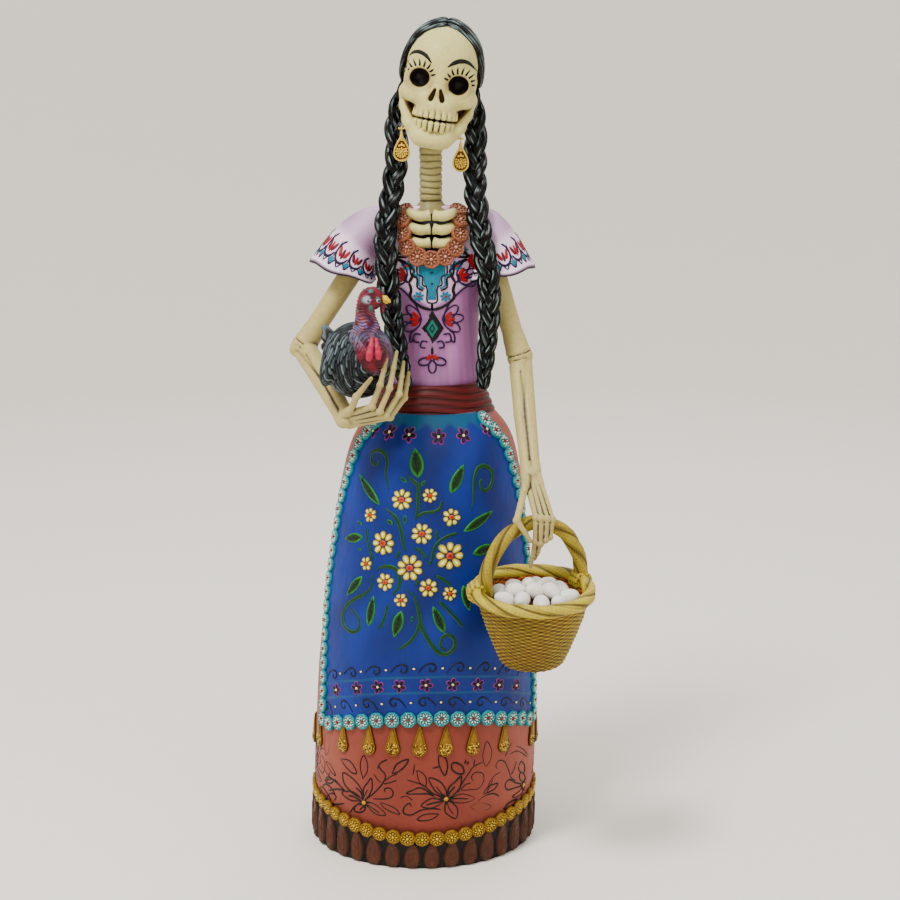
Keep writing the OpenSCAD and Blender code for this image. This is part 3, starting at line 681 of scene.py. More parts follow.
# Painted on the apron: stems as (angle in degrees, height), leaves as stalk, tip and width
STEMS = [
    [(-26.5, 279), (-28, 284), (-30, 290), (-30, 297), (-33, 302.5), (-39, 304.5), (-43.5, 302.5),
     (-43, 297.5), (-40.5, 294.5), (-37.5, 295.5), (-37.5, 298)],
    [(25, 265.5), (26.5, 271.5), (27, 280), (28.5, 288), (31.5, 293.5), (37, 294), (41.5, 290.5),
     (42, 285), (39.5, 279.5), (35.5, 277), (32.5, 279), (32, 283.5), (34, 285)],
    [(-15.5, 290), (-12, 286.5), (-8, 282.5), (-7.5, 273), (-7.5, 265), (-8.5, 259)],
    [(-8, 260.5), (-3.5, 264), (1.5, 264.5), (5.5, 267), (7, 272)],
    [(-27.5, 265.5), (-22.5, 261.5), (-19, 257), (-16.5, 249.5), (-15.5, 243.5), (-13.5, 236.5)],
    [(-39.5, 249.5), (-38, 241.5), (-36, 235.5), (-33, 227.5)],
    [(16, 249), (10, 247), (5, 243), (2.5, 238), (1.5, 230.5)], [(4, 251.5), (4.5, 245)],
    [(-8, 239), (-4.5, 236), (-1.5, 231.5)], [(-17, 236), (-18.5, 230.5)],
    [(-32.5, 217), (-32.5, 208.5), (-36, 202.5), (-43, 197), (-49, 190.5), (-52, 182), (-49.5, 175),
     (-43.5, 172.5), (-39, 175.5), (-38.5, 181.5), (-41, 186), (-45.5, 188.5)],
    [(-21.5, 197.5), (-23, 187.5), (-26, 178.5)],
    [(-12.5, 208.5), (-8.5, 205.5), (-6, 199), (-4.5, 191.5), (-3.5, 184), (-1, 176.5), (3, 168),
     (7.5, 162.5), (12, 163.5), (14.5, 168.5), (13.5, 174), (10, 176.5), (7.5, 173.5), (7, 168),
     (10, 165.5)], [(-4.5, 185), (-5.5, 178.5), (-8.5, 172), (-14.5, 165)],
    [(6, 200.5), (10.5, 194.5), (15, 187.5), (18.5, 181.5)], [(4, 219), (8, 216.5), (11, 213), (12, 210)],
    [(-30, 220.5), (-25.5, 224), (-19, 223.5), (-16, 218.5), (-16, 211), (-19, 204.5)],
    [(1, 230.5), (0.5, 226.5)], [(-5.5, 216), (-6.5, 212.5)],
]
LEAVES = [
    ((-8, 288), (-11.5, 308.5), 10), ((-31.5, 267), (-51.5, 286), 6.5), ((12, 277), (21, 297), 8),
    ((19.5, 249.5), (40, 262), 7), ((-41.5, 242.5), (-57.5, 237.5), 7), ((25, 233), (39, 237.5), 7),
    ((-15.5, 284.5), (-19.5, 288.5), 2.5), ((-6, 282.5), (-3.5, 286.5), 2.5),
    ((-22, 254.5), (-26, 257.5), 3), ((-15, 255.5), (-14.5, 262), 2.5), ((-43, 250.5), (-47.5, 253), 2),
    ((-41.5, 232.5), (-44.5, 233.5), 2), ((-39, 214.5), (-50, 197.5), 7), ((-32.5, 179), (-30.5, 202.5), 7),
    ((-14, 193.5), (-17.5, 173.5), 8), ((9, 177.5), (2.5, 197.5), 7), ((19, 211.5), (22.5, 192), 6.5),
    ((-8, 186), (-8, 190), 2),
]
# Daisies: angle, height, diameter and number of petals
DAISIES = [
    (-17.5, 272.5, 16, 8), (-0.5, 276, 11, 7), (-37.5, 259, 11, 7), (-27, 240.5, 18.5, 8),
    (-4.5, 249, 16, 8), (12.5, 260.5, 13.5, 7), (-37, 224, 10.5, 6), (-10.5, 224.5, 20, 8),
    (11.5, 233, 21.5, 8), (-24, 213, 13.5, 7), (0, 210.5, 14, 7), (-14.5, 201, 10.5, 6), (11.5, 206, 11, 7),
]


# ---------- skirt, apron and hem ----------

TERRACOTTA, TERRA_LINE = rgb("#9c5c4e"), rgb("#120807")
GOLD, GOLD_DARK, GOLD_LIGHT = rgb("#a88a2e"), rgb("#664a14"), rgb("#e4cc66")
BROWN, BROWN_DARK, BROWN_LIGHT = rgb("#603a26"), rgb("#1c100c"), rgb("#a87450")
COBALT_DARK, COBALT_LIGHT = rgb("#041c58"), rgb("#1058b0")
TEAL, LACE_WHITE = rgb("#12a3a8"), rgb("#e6f0e4")
RED, CREAM, PETAL = rgb("#b3261e"), rgb("#efe0b0"), rgb("#dcd02a")

skirt_mat = finish("skirt_terracotta", None, rough=0.6, vary=0.07, vary_per_mm=0.02, bump=0.35,
                   bump_per_mm=0.25, fine=0.3, fine_per_mm=1.6, streak=(1, 1, 0.35), wear="#d08878",
                   wear_amount=0.25)
line_mat = finish("line_paint", None, rough=0.5, vary=0.2, bump=0.2, fine=0.2)
apron_mat = finish("apron_cobalt", None, rough=0.5, vary=0.13, vary_per_mm=0.03, streak=(1, 1, 0.3),
                   bump=0.35, bump_per_mm=0.3, fine=0.35, fine_per_mm=1.4)
lace_mat = finish("lace_turquoise", None, rough=0.45, vary=0.12, bump=0.3, bump_per_mm=1.6, fine=0.2,
                  grime="#06343a", grime_amount=0.45)
gold_mat = finish("gold_paint", None, rough=0.42, metal=0.35, vary=0.18, vary_per_mm=0.3, bump=0.5,
                  bump_per_mm=1.8, fine=0.3, grime="#40260a", grime_amount=0.55)
hem_mat = finish("hem_brown", None, rough=0.5, vary=0.25, vary_per_mm=0.2, bump=0.6, bump_per_mm=0.9,
                 fine=0.4, streak=(1, 1, 0.3), grime="#0f0808", grime_amount=0.5)


def hem_line(angle):
    """Height of the hem's upper edge at an angle in degrees."""
    return 36.6 - 12.6 * np.maximum(0, np.cos(np.radians(angle))) ** 2


def apron_hem(angle):
    """Height of the apron's lower edge at an angle in degrees."""
    return 115 - 31.2 * (1 - np.cos(np.radians(np.asarray(angle, float) - 4)))


def apron_edge(side, z):
    """Angle of one side of the apron at a height: 1 is her left side, -1 her right."""
    if side > 0:
        return np.interp(z, [95, 119, 200, 260, 306, 318, 330], [73.5, 74.5, 74, 70, 61, 54, 46])
    return np.interp(z, [95, 119, 200, 260, 306, 318, 330], [-65, -66, -72, -70, -61, -55, -47])


def hand_lumps(angle, z, size=0.25):
    """Slow unevenness of a surface laid by hand."""
    a = np.radians(angle)
    return size * (np.sin(3 * a + z * 0.021) * np.sin(z * 0.033 + 1) + 0.6 * np.sin(7 * a - z * 0.047)
                   + 0.4 * np.sin(13 * a + z * 0.09) * np.cos(z * 0.07))


z, a = lattice(np.concatenate([[0, 0.6], np.linspace(2, 329, 150), [330]]), np.linspace(0, 360, 240, False))
outer = on_skirt(a, z, hand_lumps(a, z))
points, faces = skin(outer[:, ::-1], on_skirt(a, z, -3)[:, ::-1], True)
shade = 1 + 0.05 * np.sin(np.radians(a) * 5 + z * 0.05) * np.sin(z * 0.06)
# Darker in a band just above the hem line, round the gold rosettes: painted shade
hem_shade = np.clip(1 - np.abs(z - hem_line(a) - 3) / 6, 0, 1)[..., None] * 0.35
# Lighter and pinker away from the front: a painted highlight on the skirt's sides
side_highlight = np.clip((np.abs((a + 180) % 360 - 180) - 22) / 45, 0, 1)[..., None] * 0.42
tint = (TERRACOTTA * (1 - side_highlight) + rgb("#c68a7c") * side_highlight) * shade[..., None] * (1 - hem_shade)
make_one("skirt", points, faces, np.tile(tint[:, ::-1].reshape(-1, 3), (2, 1)), skirt_mat, "figure",
         "skirt_paint", "skirt_shell")

lines = Pile()
for angle, height, drawing in ((-31.5, 46.5, FLOWER_A), (11.5, 53.5, FLOWER_B), (63.5, 47.5, FLOWER_C),
                               (100, 49, FLOWER_B), (146, 48, FLOWER_A), (189, 52, FLOWER_B),
                               (233, 47, FLOWER_A), (277, 51, FLOWER_B)):
    spot = skirt_spot(angle, height, 0.05)
    for k, path in enumerate(drawing):
        if len(path) > 1:
            stroke(lines, spot, path, 1.0 + 0.25 * math.sin(k * 2.3), 0.28, TERRA_LINE, 5, sink=0.25)
    for k in range(7):
        b = k * 0.9 + 0.2
        stroke(lines, spot, [(0.8 * math.cos(b), 0.8 * math.sin(b)), (5 * math.cos(b), 4.5 * math.sin(b))],
               1.3, 0.3, TERRA_LINE, 4, sink=0.25)
    blob(lines, skirt_spot(angle, height, 0.2), oval(0, 0, 1.7, 1.6, 0, 12), 0.7, rgb("#c9a41c"))
make("skirt_flowers", lines, line_mat, "figure", "skirt_paint")

# Apron: cobalt panel with turquoise scallops at its top and two turquoise lines near its hem
v, t = lattice(np.linspace(0, 1, 190), np.linspace(-1, 1, 170))
z = 330 * v + 95 * (1 - v)
a = apron_edge(-1, z) * (1 - t) / 2 + apron_edge(1, z) * (1 + t) / 2
z = apron_hem(a) * (1 - v) + 329.5 * v
a = apron_edge(-1, z) * (1 - t) / 2 + apron_edge(1, z) * (1 + t) / 2
rim = np.clip(1 - np.minimum.reduce([(1 - np.abs(t)) * 60, (z - apron_hem(a)) * 0.8]), 0, 1)
outer = on_skirt(a, z, 1.3 + 0.5 * hand_lumps(a, z) - 0.9 * rim)
points, faces = skin(outer, on_skirt(a, z, -0.6))
# Cobalt in lighter and darker brush strokes, and lighter towards both sides of the panel: a painted
# highlight
brush = 0.5 + 0.5 * np.sin(np.radians(a) * 9 + 2 * np.sin(z * 0.05)) * np.sin(z * 0.035 + 1)
light = np.clip(0.25 + 0.35 * brush + 0.25 * np.abs(t) ** 2, 0, 1)[..., None]
tint = COBALT_DARK + (COBALT_LIGHT - COBALT_DARK) * light
dips = 320.7 - 2.6 * np.cos(np.radians((a - 4.7) * 360 / 19.2))
teal_top = np.clip((z - dips) / 3 + 0.5, 0, 1)
above = z - apron_hem(a)
teal_line = 0.75 * (np.clip(1 - np.abs(above - 31) / 0.9, 0, 1)
                    + np.clip(1 - np.abs(above - 19.5) / 0.9, 0, 1))
teal_side = 0.6 * np.clip((np.abs(t) - 0.93) / 0.05, 0, 1)
mix = np.clip(np.maximum.reduce([teal_top * 0.6, teal_line, teal_side]), 0, 1)[..., None]
tint = tint * (1 - mix) + rgb("#0c7f8c") * mix
make_one("apron", points, faces, np.tile(tint.reshape(-1, 3), (2, 1)), apron_mat, "figure", "apron_paint",
         "apron_panel")

GREEN, GREEN_LIGHT, GREEN_DARK = rgb("#0f5a1a"), rgb("#3f9a2c"), rgb("#062a0e")
PURPLE, MAGENTA, NAVY = rgb("#140824"), rgb("#ac4aa4"), rgb("#0d0a33")
paint = Pile()
flat = skirt_flat(1.35)
STRETCH = (1.3, 1.0)
for k, path in enumerate(STEMS):
    long = len(path) > 5
    stroke(paint, flat, path, [0.8, 2.9, 3.0, 2.6, 1.4] if long else 2.2, 0.5, GREEN, 7, STRETCH,
           GREEN_LIGHT * 0.7)
for stalk, tip, width in LEAVES:
    spot = skirt_spot(stalk[0], stalk[1], 1.4)
    end = (np.radians(tip[0] - stalk[0]) * skirt_r((stalk[1] + tip[1]) / 2), tip[1] - stalk[1])
    blob(paint, spot, leaf_shape((0, 0), end, width, 11), 0.55, GREEN, GREEN_LIGHT)
    if width > 4:
        e = np.array(end)
        side = np.array([-e[1], e[0]]) / np.linalg.norm(e)
        raised = skirt_spot(stalk[0], stalk[1], 1.85)
        stroke(paint, raised, [e * 0.08, e * 0.45 + side * 0.3, e * 0.9], 1.2, 0.3, GREEN_DARK, 4)
        for s in (-1, 1):
            for f in (0.25, 0.42, 0.58, 0.72):
                stroke(paint, raised, [e * f, e * (f + 0.12) + side * s * width * 0.24], 0.7, 0.25,
                       GREEN_DARK, 4)
for k, (angle, height, size, petals) in enumerate(DAISIES):
    r = size / 2
    for j in range(petals):
        b = 2 * np.pi * (j + 0.37 * k) / petals
        long = r * (0.34 + 0.05 * math.sin(3 * j + k))
        shape = oval(0.62 * r * math.cos(b), 0.62 * r * math.sin(b), long, 0.21 * r * 8 / petals ** 0.95,
                     math.degrees(b), 14, -0.25)
        blob(paint, skirt_spot(angle, height, 1.5), shape, 0.75, PETAL, rgb("#a89a14"))
        streak = oval(0.62 * r * math.cos(b), 0.62 * r * math.sin(b), long * 0.6, 0.055 * r,
                      math.degrees(b), 8)
        blob(paint, skirt_spot(angle, height, 2.0), streak, 0.42, rgb("#f4f6dc"))
    blob(paint, skirt_spot(angle, height, 1.9), oval(0, 0, 0.2 * r + 0.4, 0.2 * r + 0.3, 0, 12), 0.8,
         rgb("#c8401a"), rgb("#d9801c"), tip=rgb("#6e1210"))


def violet(pile, angle, height, r, phase):
    """A small flower with five dark petals and a pale heart."""
    for j in range(5):
        b = 2 * np.pi * (j + phase) / 5
        c, s = math.cos(b), math.sin(b)
        under = oval(0.62 * r * c, 0.62 * r * s, 0.46 * r, 0.34 * r, math.degrees(b), 14, -0.2)
        blob(pile, skirt_spot(angle, height, 1.35), under, 0.42, MAGENTA, MAGENTA * 0.8)
        petal = oval(0.56 * r * c, 0.56 * r * s, 0.4 * r, 0.26 * r, math.degrees(b), 12, -0.2)
        blob(pile, skirt_spot(angle, height, 1.6), petal, 0.42, PURPLE)
    blob(pile, skirt_spot(angle, height, 1.8), oval(0, 0, 0.95, 0.9, 0, 10), 0.6, CREAM)


for k, angle in enumerate((-51, -34.5, -17.5, 4.7, 24, 47)):
    violet(paint, angle, (316, 317, 316.5, 315.5, 315.5, 317.5)[k], 5.2 - 0.5 * (k == 5), 0.25 + 0.31 * k)
for k, angle in enumerate((-52.5, -37.5, -25, -13.5, 0, 13.5, 27, 40, 53)):
    violet(paint, angle, float(apron_hem(angle)) + 25, 4.9, 0.25 + 0.17 * k)
for k in range(9):
    for angle, lift, flip in ((-57 + 14.5 * k, 37.5, 1), (-59.5 + 15 * k, 12.5, -1)):
        if angle > 64:
            continue
        lane = skirt_spot(angle, float(apron_hem(angle)) + lift, 1.35)
        hook = np.array([(-7, -3.2), (-3.5, 1), (0.5, 3.2), (4, 2.6), (5.2, -0.4), (3, -2.6), (0.6, -1.6),
                         (1.2, 0.4)])
        if flip < 0:
            hook = hook * [-1, 1]
        stroke(paint, lane, hook, [0.6, 1.3, 1.4, 1.3, 0.7], 0.4, NAVY, 5)
        blob(paint, skirt_spot(angle + 7.2, float(apron_hem(angle + 7.2)) + lift - 0.3, 1.4),
             oval(0, 0, 1.5, 1.1, 0, 10), 0.4, NAVY)
        blob(paint, skirt_spot(angle + 7.2, float(apron_hem(angle + 7.2)) + lift - 0.3, 1.6),
             oval(0, 0, 0.95, 0.75, 0, 8), 0.5, CREAM)
make("apron_painting", paint, finish("apron_paints", None, rough=0.45, vary=0.2, vary_per_mm=0.25, bump=0.3,
                                     bump_per_mm=1.2, fine=0.3, fine_per_mm=3), "figure", "apron_paint")

# Turquoise lace along the apron's sides and hem
for name, side in (("left", 1), ("right", -1)):
    lace = Pile()
    height = np.linspace(97, 326, 400)
    edge = on_skirt(apron_edge(side, height), height, 1.5)
    run = run_along(edge)
    for k, d in enumerate(np.arange(2, run[-1], 10.6)):
        h = float(np.interp(d, run, height))
        rosette(lace, skirt_spot(float(apron_edge(side, h)), h, 1.4), 5.5 + 0.2 * math.sin(k * 2.1), 1.9,
                TEAL, LACE_WHITE, RED, 8, phase=k * 0.7)
    make("lace_" + name, lace, lace_mat, "figure", "turquoise_lace", "apron_lace_" + name)
lace = Pile()
for k in range(16):
    angle = -57.5 + 123.0 * k / 15
    rosette(lace, skirt_spot(angle, float(apron_hem(angle)) + 0.3 * math.sin(k * 1.9), 1.4), 5.7, 1.9, TEAL,
            LACE_WHITE, RED, 8, phase=k * 0.5)
make("lace_bottom", lace, lace_mat, "figure", "turquoise_lace", "apron_lace_bottom")

# Gold drops, each with grains on its lower half
drops = Pile()
front = [-70, -46, -29, -16, -2.5, 10.5, 25, 44, 72]
for k, angle in enumerate(front + [72 + 218 * i / 13 for i in range(1, 13)]):
    height = 80.5 + 17.6 * max(0, math.cos(math.radians(angle)))
    spot = skirt_spot(angle, height, 0.1)
    outline = np.array([(0, 13), (0.9, 10.5)] + [(5.7 * math.cos(b), -6 + 5.9 * math.sin(b)) for b in
                                                 np.radians(np.arange(32, -213, -17.5))] + [(-0.9, 10.5)])
    blob(drops, spot, outline[::-1], 2.3, GOLD, GOLD_DARK, centre=(0, -5))
    rim = curve(np.vstack([outline, outline[:1]]) * [0.86, 0.9] + [0, -0.4], 2)
    stroke(drops, skirt_spot(angle, height, 1.35), rim, 0.9, 0.5, GOLD, 0)
    for j in range(64):
        r, b = math.sqrt(RNG.random()) * 4.4, RNG.random() * 2 * np.pi
        x, y = r * math.cos(b), -5.5 + r * math.sin(b) * 1.15
        lift = 2.15 - 0.03 * r * r
        size = 0.46 + 0.34 * RNG.random()
        bead(drops, spot(x, y, lift), size, GOLD_LIGHT if RNG.random() < 0.45 else GOLD_DARK, 6, 4)
    for j in range(5):
        stroke(drops, skirt_spot(angle, height, 1.6), [(-1.6 + 0.8 * j, -1), (-0.5 + 0.25 * j, 8)], 0.5,
               0.5, GOLD, 4)
make("gold_drops", drops, gold_mat, "figure", "gold_trim", "skirt_drops")

# Gold rosettes round the hem
beads = Pile()
for k in range(50):
    angle = 360 * k / 50
    lift = 1.0 + 2.2 * max(0, math.cos(math.radians(angle))) ** 2
    rosette(beads, skirt_spot(angle, float(hem_line(angle)), lift), 5.35 + 0.2 * math.sin(k * 1.7), 1.9,
            GOLD, GOLD_LIGHT, GOLD_LIGHT, 8, phase=k * 0.9)
make("gold_rosettes", beads, gold_mat, "figure", "gold_trim", "hem_rosettes")

# Brown hem: a rough band and carved almond petals
v, a = lattice(np.linspace(0, 1, 16), np.linspace(0, 360, 360, False))
z = 0.3 + (hem_line(a) - 1.5) * v
rough = 0.35 * np.sin(np.radians(a) * 41) * np.sin(z * 0.9) + 0.25 * np.sin(np.radians(a) * 67 + z)
swell = 1.2 + 1.9 * np.maximum(0, np.cos(np.radians(a))) ** 2 * v ** 2
points, faces = skin(on_skirt(a, z, swell + rough * 0.6)[:, ::-1], on_skirt(a, z, -0.5)[:, ::-1], True)
make_one("hem_base", points, faces, BROWN_DARK, hem_mat, "figure", "hem_brown", "hem_band")

petals = Pile()
u, v = np.meshgrid(np.linspace(-1, 1, 19), np.linspace(0, 1, 26), indexing="xy")
for k in range(36):
    angle = 360 * (k + 0.5) / 36
    top = float(hem_line(angle)) - 3.6
    width = 6.75 * (1 + 0.05 * math.sin(k * 2.7))
    body = np.sin(np.pi * np.clip(v * 0.97 + 0.015, 0, 1) ** 0.72) ** 0.62
    x = u * width * body + 0.5 * math.sin(k * 1.3) * v
    y = 0.4 + (top - 0.4) * v
    nest = np.maximum(np.abs(u), np.abs(v - 0.42) * 1.35)
    height = 2.9 * (1 - 0.75 * nest ** 3) + 0.42 * np.cos(nest * 2 * np.pi * 3.1) - 0.15
    height += 0.45 * np.sin(u * 11 + k) * np.sin(v * 34 + 2 * k) * np.clip(1 - v * 3.2, 0, 1)
    height = np.where(np.abs(u) > 0.99, 0.2, height)
    height[0], height[-1] = 0.2, 0.2
    spot = skirt_spot(angle, 0.0, 1.0)
    points, faces = skin(spot(x, y, height), spot(x, y, -0.8 + 0 * height))
    # Dark brown in the carved grooves and lighter on the ridges: painted shade
    ridge = np.clip((height - 0.75) / 1.5, 0, 1)[..., None]
    tint = BROWN_DARK * (1 - ridge) + (BROWN * 0.85 + BROWN_LIGHT * 0.15) * ridge
    petals.add(points, faces, np.concatenate([tint.reshape(-1, 3), np.tile(BROWN_DARK, (u.size, 1))]))
make("hem_petal_ring", petals, hem_mat, "figure", "hem_brown", "hem_petals")


# ---------- basket and eggs ----------

STRAW, STRAW_LIGHT, STRAW_DARK = rgb("#a2862c"), rgb("#cebc5c"), rgb("#7c6224")
ROPE, ROPE_LIGHT, ROPE_DARK = rgb("#9c8626"), rgb("#d8ca62"), rgb("#6a561a")
straw_mat = finish("basket_straw", None, rough=0.5, vary=0.16, vary_per_mm=0.12, bump=0.3, bump_per_mm=1.5,
                   fine=0.3, grime="#4a2a0c", grime_amount=0.35)
rope_mat = finish("rope_straw", None, rough=0.5, vary=0.16, vary_per_mm=0.15, bump=0.3, bump_per_mm=2,
                  fine=0.3, grime="#57461a", grime_amount=0.3)
RIM_AT, RIM_R = np.array([79, -103, 216.0]), 39.5


def in_basket(p):
    """From the basket's own frame, with the rim's centre at the origin, to the figure's."""
    return turn(np.asarray(p, float), 0, 7) + RIM_AT


def weave(angle, z, stakes=52, row_height=1.5):
    """Height of woven straw, from 0 to 1, at an angle in radians and a height."""
    q = z / row_height + 0.25 * np.sin(3 * angle) + 0.12 * np.sin(11 * angle)
    row, part = np.floor(q), q - np.floor(q)
    round_top = np.sqrt(np.clip(1 - (2 * part - 1) ** 2, 0, 1))
    over = np.cos(angle * stakes / 2 + np.pi * row)
    return round_top * (0.55 + 0.45 * over) + 0.12 * np.sin(row * 2.4 + 5 * angle)


z, a = lattice(np.linspace(-53, -1, 210), np.linspace(0, 2 * np.pi, 416, False))
profile = curve([(-53, 21.5, 0), (-51, 23.2, 0), (-40, 28, 0), (-18, 36, 0), (-2, 39.3, 0), (0, 39.5, 0)],
                6)
r = np.interp(z, profile[:, 0], profile[:, 1])
w = weave(a, z)
r_out = r - 0.7 + 0.95 * w + 0.25 * np.sin(2 * a + 1) * np.sin(z * 0.06)
outer = in_basket(on_circle(r_out, a, z))
w_in = weave(a + 0.06, z + 0.6)
r_in = np.interp(z, [-53, -49, -18, 0], [18, 20.5, 32.8, 36.4]) - 0.6 * w_in
z_in = np.maximum(z, -49)
inner = in_basket(on_circle(r_in, a, z_in))
# Dark in the grooves between the woven straws and lighter on their raised tops: painted shade and highlight
tint_out = blend(STRAW_DARK,
                 blend(STRAW, STRAW_LIGHT, 0.75 * (w - 0.45) / 0.5 + 0.25 * np.sin(2 * a + 2.2)),
                 (w - 0.05) / 0.4)
olive = 0.5 + 0.5 * np.sin(2 * a + 0.6 + np.sin(z * 0.09)) * np.cos(z * 0.05 + 1.2 * np.sin(3 * a))
tint_out = blend(tint_out, tint_out * [0.86, 1.0, 0.8], olive)
# Darker towards the bottom: painted shade
tint_out *= (0.82 + 0.18 * np.clip((z + 53) / 30, 0, 1))[..., None]
# Inside, the grooves of the weave are darker too: painted shade
tint_in = blend(rgb("#7a4416"), rgb("#d08c3c"), w_in)
shell = Pile()
points, faces = skin(outer, inner, True)
shell.add(points, faces, np.concatenate([tint_out.reshape(-1, 3), tint_in.reshape(-1, 3)]))
for reach, height in ((21.8, -53), (20.8, -49)):
    rr, aa = lattice(np.linspace(0.4, reach, 26), np.linspace(0, 2 * np.pi, 104, False))
    wave = 0.35 * weave(aa, rr, 26, 1.6) - 0.3
    up = 1 if height > -50 else -1
    top = in_basket(on_circle(rr, aa, height + 0.4 + wave * up))
    low_side = in_basket(on_circle(rr, aa, 0 * rr + height - 1.6 * up))
    points, faces = skin(top, low_side, True)
    # The floor and the base are a darker copy of the straw: painted shade
    shell.add(points, faces, STRAW * 0.8)
make("basket_weave", shell, straw_mat, "basket", "basket_straw", "basket_shell")


def wrapped(path, radius, pitch, starts, tint_low, tint_high, closed=False, sides=32, depth=0.9,
            ref=(0, 1, 0)):
    """A rope: a tube with ridges that wind round it, each of several straws."""
    if closed:
        t = unit(np.roll(path, -1, 0) - np.roll(path, 1, 0))
        a_dir = unit(np.cross(ref, t))
        b_dir = np.cross(t, a_dir)
    else:
        t, a_dir, b_dir = frames(path, ref)
    run = run_along(path)
    total = run[-1] + (np.linalg.norm(path[0] - path[-1]) if closed else 0)
    turns = max(1, round(total / pitch))
    angle = np.linspace(0, 2 * np.pi, sides, False)
    phase = 2 * np.pi * turns * run[:, None] / total + starts * angle[None]
    wobble = 0.35 * np.sin(run / 9)[:, None]
    ridge = np.abs(np.cos(phase / 2 + wobble)) ** 0.7
    straw = 0.5 + 0.5 * np.cos(phase * 4 + 1.3 * np.sin(phase))
    rr = radius - depth + depth * ridge + 0.22 * straw * ridge + 0.12 * np.sin(run / 5)[:, None]
    ring = path[:, None] + rr[..., None] * (np.cos(angle)[None, :, None] * a_dir[:, None]
                                            + np.sin(angle)[None, :, None] * b_dir[:, None])
    # Dark in the grooves between the wound ridges and lighter on the ridges: painted shade
    tint = blend(tint_low, tint_high, (0.35 + 0.65 * straw) * (ridge - 0.15) / 0.5)
    return ring, tint


t = np.linspace(0, 2 * np.pi, 620, False)
rim_path = np.column_stack([RIM_R * np.cos(t), RIM_R * np.sin(t), 0.5 * np.sin(3 * t)])
rings, tint = wrapped(rim_path, 4.8, 27, -3, ROPE_DARK, ROPE_LIGHT * 0.9 + ROPE * 0.1, True, ref=(0, 0, 1))
make_one("basket_rope_rim", in_basket(rings.reshape(-1, 3)), [grid(*rings.shape[:2], True, True)],
         tint.reshape(-1, 3), rope_mat, "basket", "rope_straw", "basket_rim")

t = np.radians(np.linspace(-7, 187, 420))
handle_path = np.column_stack([3.5 - 36 * np.cos(t), 8.5 + 0 * t, 2 + 45.3 * np.sin(t)])
rings, tint = wrapped(turn(handle_path, 2, 18), 5.3, 30, 3, ROPE_DARK, ROPE * 0.5 + ROPE_LIGHT * 0.5,
                      depth=1.1)
points, faces = lofted(rings)
handle = Pile()
handle.add(in_basket(points), faces, np.concatenate([tint.reshape(-1, 3), [ROPE, ROPE]]))
for end in (-1, 1):
    for k in range(3):
        a = np.linspace(0, 2 * np.pi, 40, False)
        centre = turn(np.array([[3.5 + end * (35.8 - 0.3 * k), 8.5, 0]]), 2, 18)[0]
        along = math.atan2(centre[1], centre[0]) + 0.09 * (k - 1)
        hub = np.array([RIM_R * math.cos(along), RIM_R * math.sin(along), 0])
        out = np.array([math.cos(along), math.sin(along), 0])
        loop = hub + 5.6 * (np.cos(a)[:, None] * out + np.sin(a)[:, None] * np.array([0, 0, 1]))
        band_rings, band_tint = wrapped(loop, 1.9, 3.2, 1, ROPE_DARK, ROPE_LIGHT, True, 10, 0.4,
                                        ref=(-math.sin(along), math.cos(along), 0))
        handle.add(in_basket(band_rings.reshape(-1, 3)), [grid(*band_rings.shape[:2], True, True)],
                   band_tint.reshape(-1, 3))
make("basket_rope_handle", handle, rope_mat, "basket", "rope_straw", "basket_handle")


# Length of an egg against its width, and how much thicker one end is
EGG_LENGTH, EGG_TAPER = 1.44, 0.17


def egg(pile, place, heading, tip, size, tint):
    """An egg in the basket's frame, lying at a heading and tipped, both in degrees."""
    u = np.linspace(0, np.pi, 18)
    v = np.linspace(0, 2 * np.pi, 24, False)
    body = np.sin(u) * (1 + EGG_TAPER * np.cos(u))
    rings = np.stack([EGG_LENGTH * np.cos(u)[:, None] + 0 * v, body[:, None] * np.cos(v),
                      body[:, None] * np.sin(v)], -1)
    rings[0], rings[-1] = rings[0].mean(0), rings[-1].mean(0)
    rings[0, :, 1:] += 0.01 * np.column_stack([np.cos(v), np.sin(v)])
    rings[-1, :, 1:] += 0.01 * np.column_stack([np.cos(v), np.sin(v)])
    points, faces = lofted(turn(turn(rings * size, 1, tip), 2, heading) + np.array(place))
    pile.add(in_basket(points), faces, tint)


eggs = Pile()
EGG_PLACES = [(-22, -9, -4, 20), (-9, -14, -2, 70), (6, -19, -4, 100), (19, -15, -4, 60), (27, -3, -4, 10),
              (14, -3, 0, 140), (1, -4, 1, 40), (-13, 0, 0, 160), (-25, 6, -5, 100), (-3, 11, 0, 80),
              (11, 13, -1, 20), (22, 11, -4, 130), (-14, 14, -3, 40), (4, 24, -5, 100)]
LOW_EGGS = [(-25, -4, -9, 80), (-15, -17, -9, 40), (-2, -23, -9, 0), (13, -20, -9, 160), (23, -11, -9, 120),
            (25, 4, -9, 95), (-17, 17, -9, 130), (13, 21, -9, 150), (-5, 24, -9, 10), (21, 14, -9, 120)]
for k, (x, y, z, heading) in enumerate(EGG_PLACES + LOW_EGGS):
    grey = 1 - 0.05 * (k % 3)
    lift = 0.4 if k < len(EGG_PLACES) else -1.2
    egg(eggs, (0.92 * x, 0.92 * y, z + lift), heading, 8 - 24 * ((k * 7) % 3 - 1), 5.7 - 0.3 * (k % 2),
        rgb("#f2f0ea") * grey)
make("eggs_heap", eggs, finish("egg_white", None, rough=0.38, vary=0.04, vary_per_mm=0.15, bump=0.15,
                               bump_per_mm=0.5, fine=0.1, coat=0.15), "basket", "egg_white", "eggs")
fill = Pile()
rr, aa = lattice(np.linspace(0.3, 31, 24), np.linspace(0, 2 * np.pi, 90, False))
lump = 0.8 * np.sin(rr * 1.1 + 3 * np.sin(aa * 5)) + 0.6 * np.sin(aa * 17 + rr)
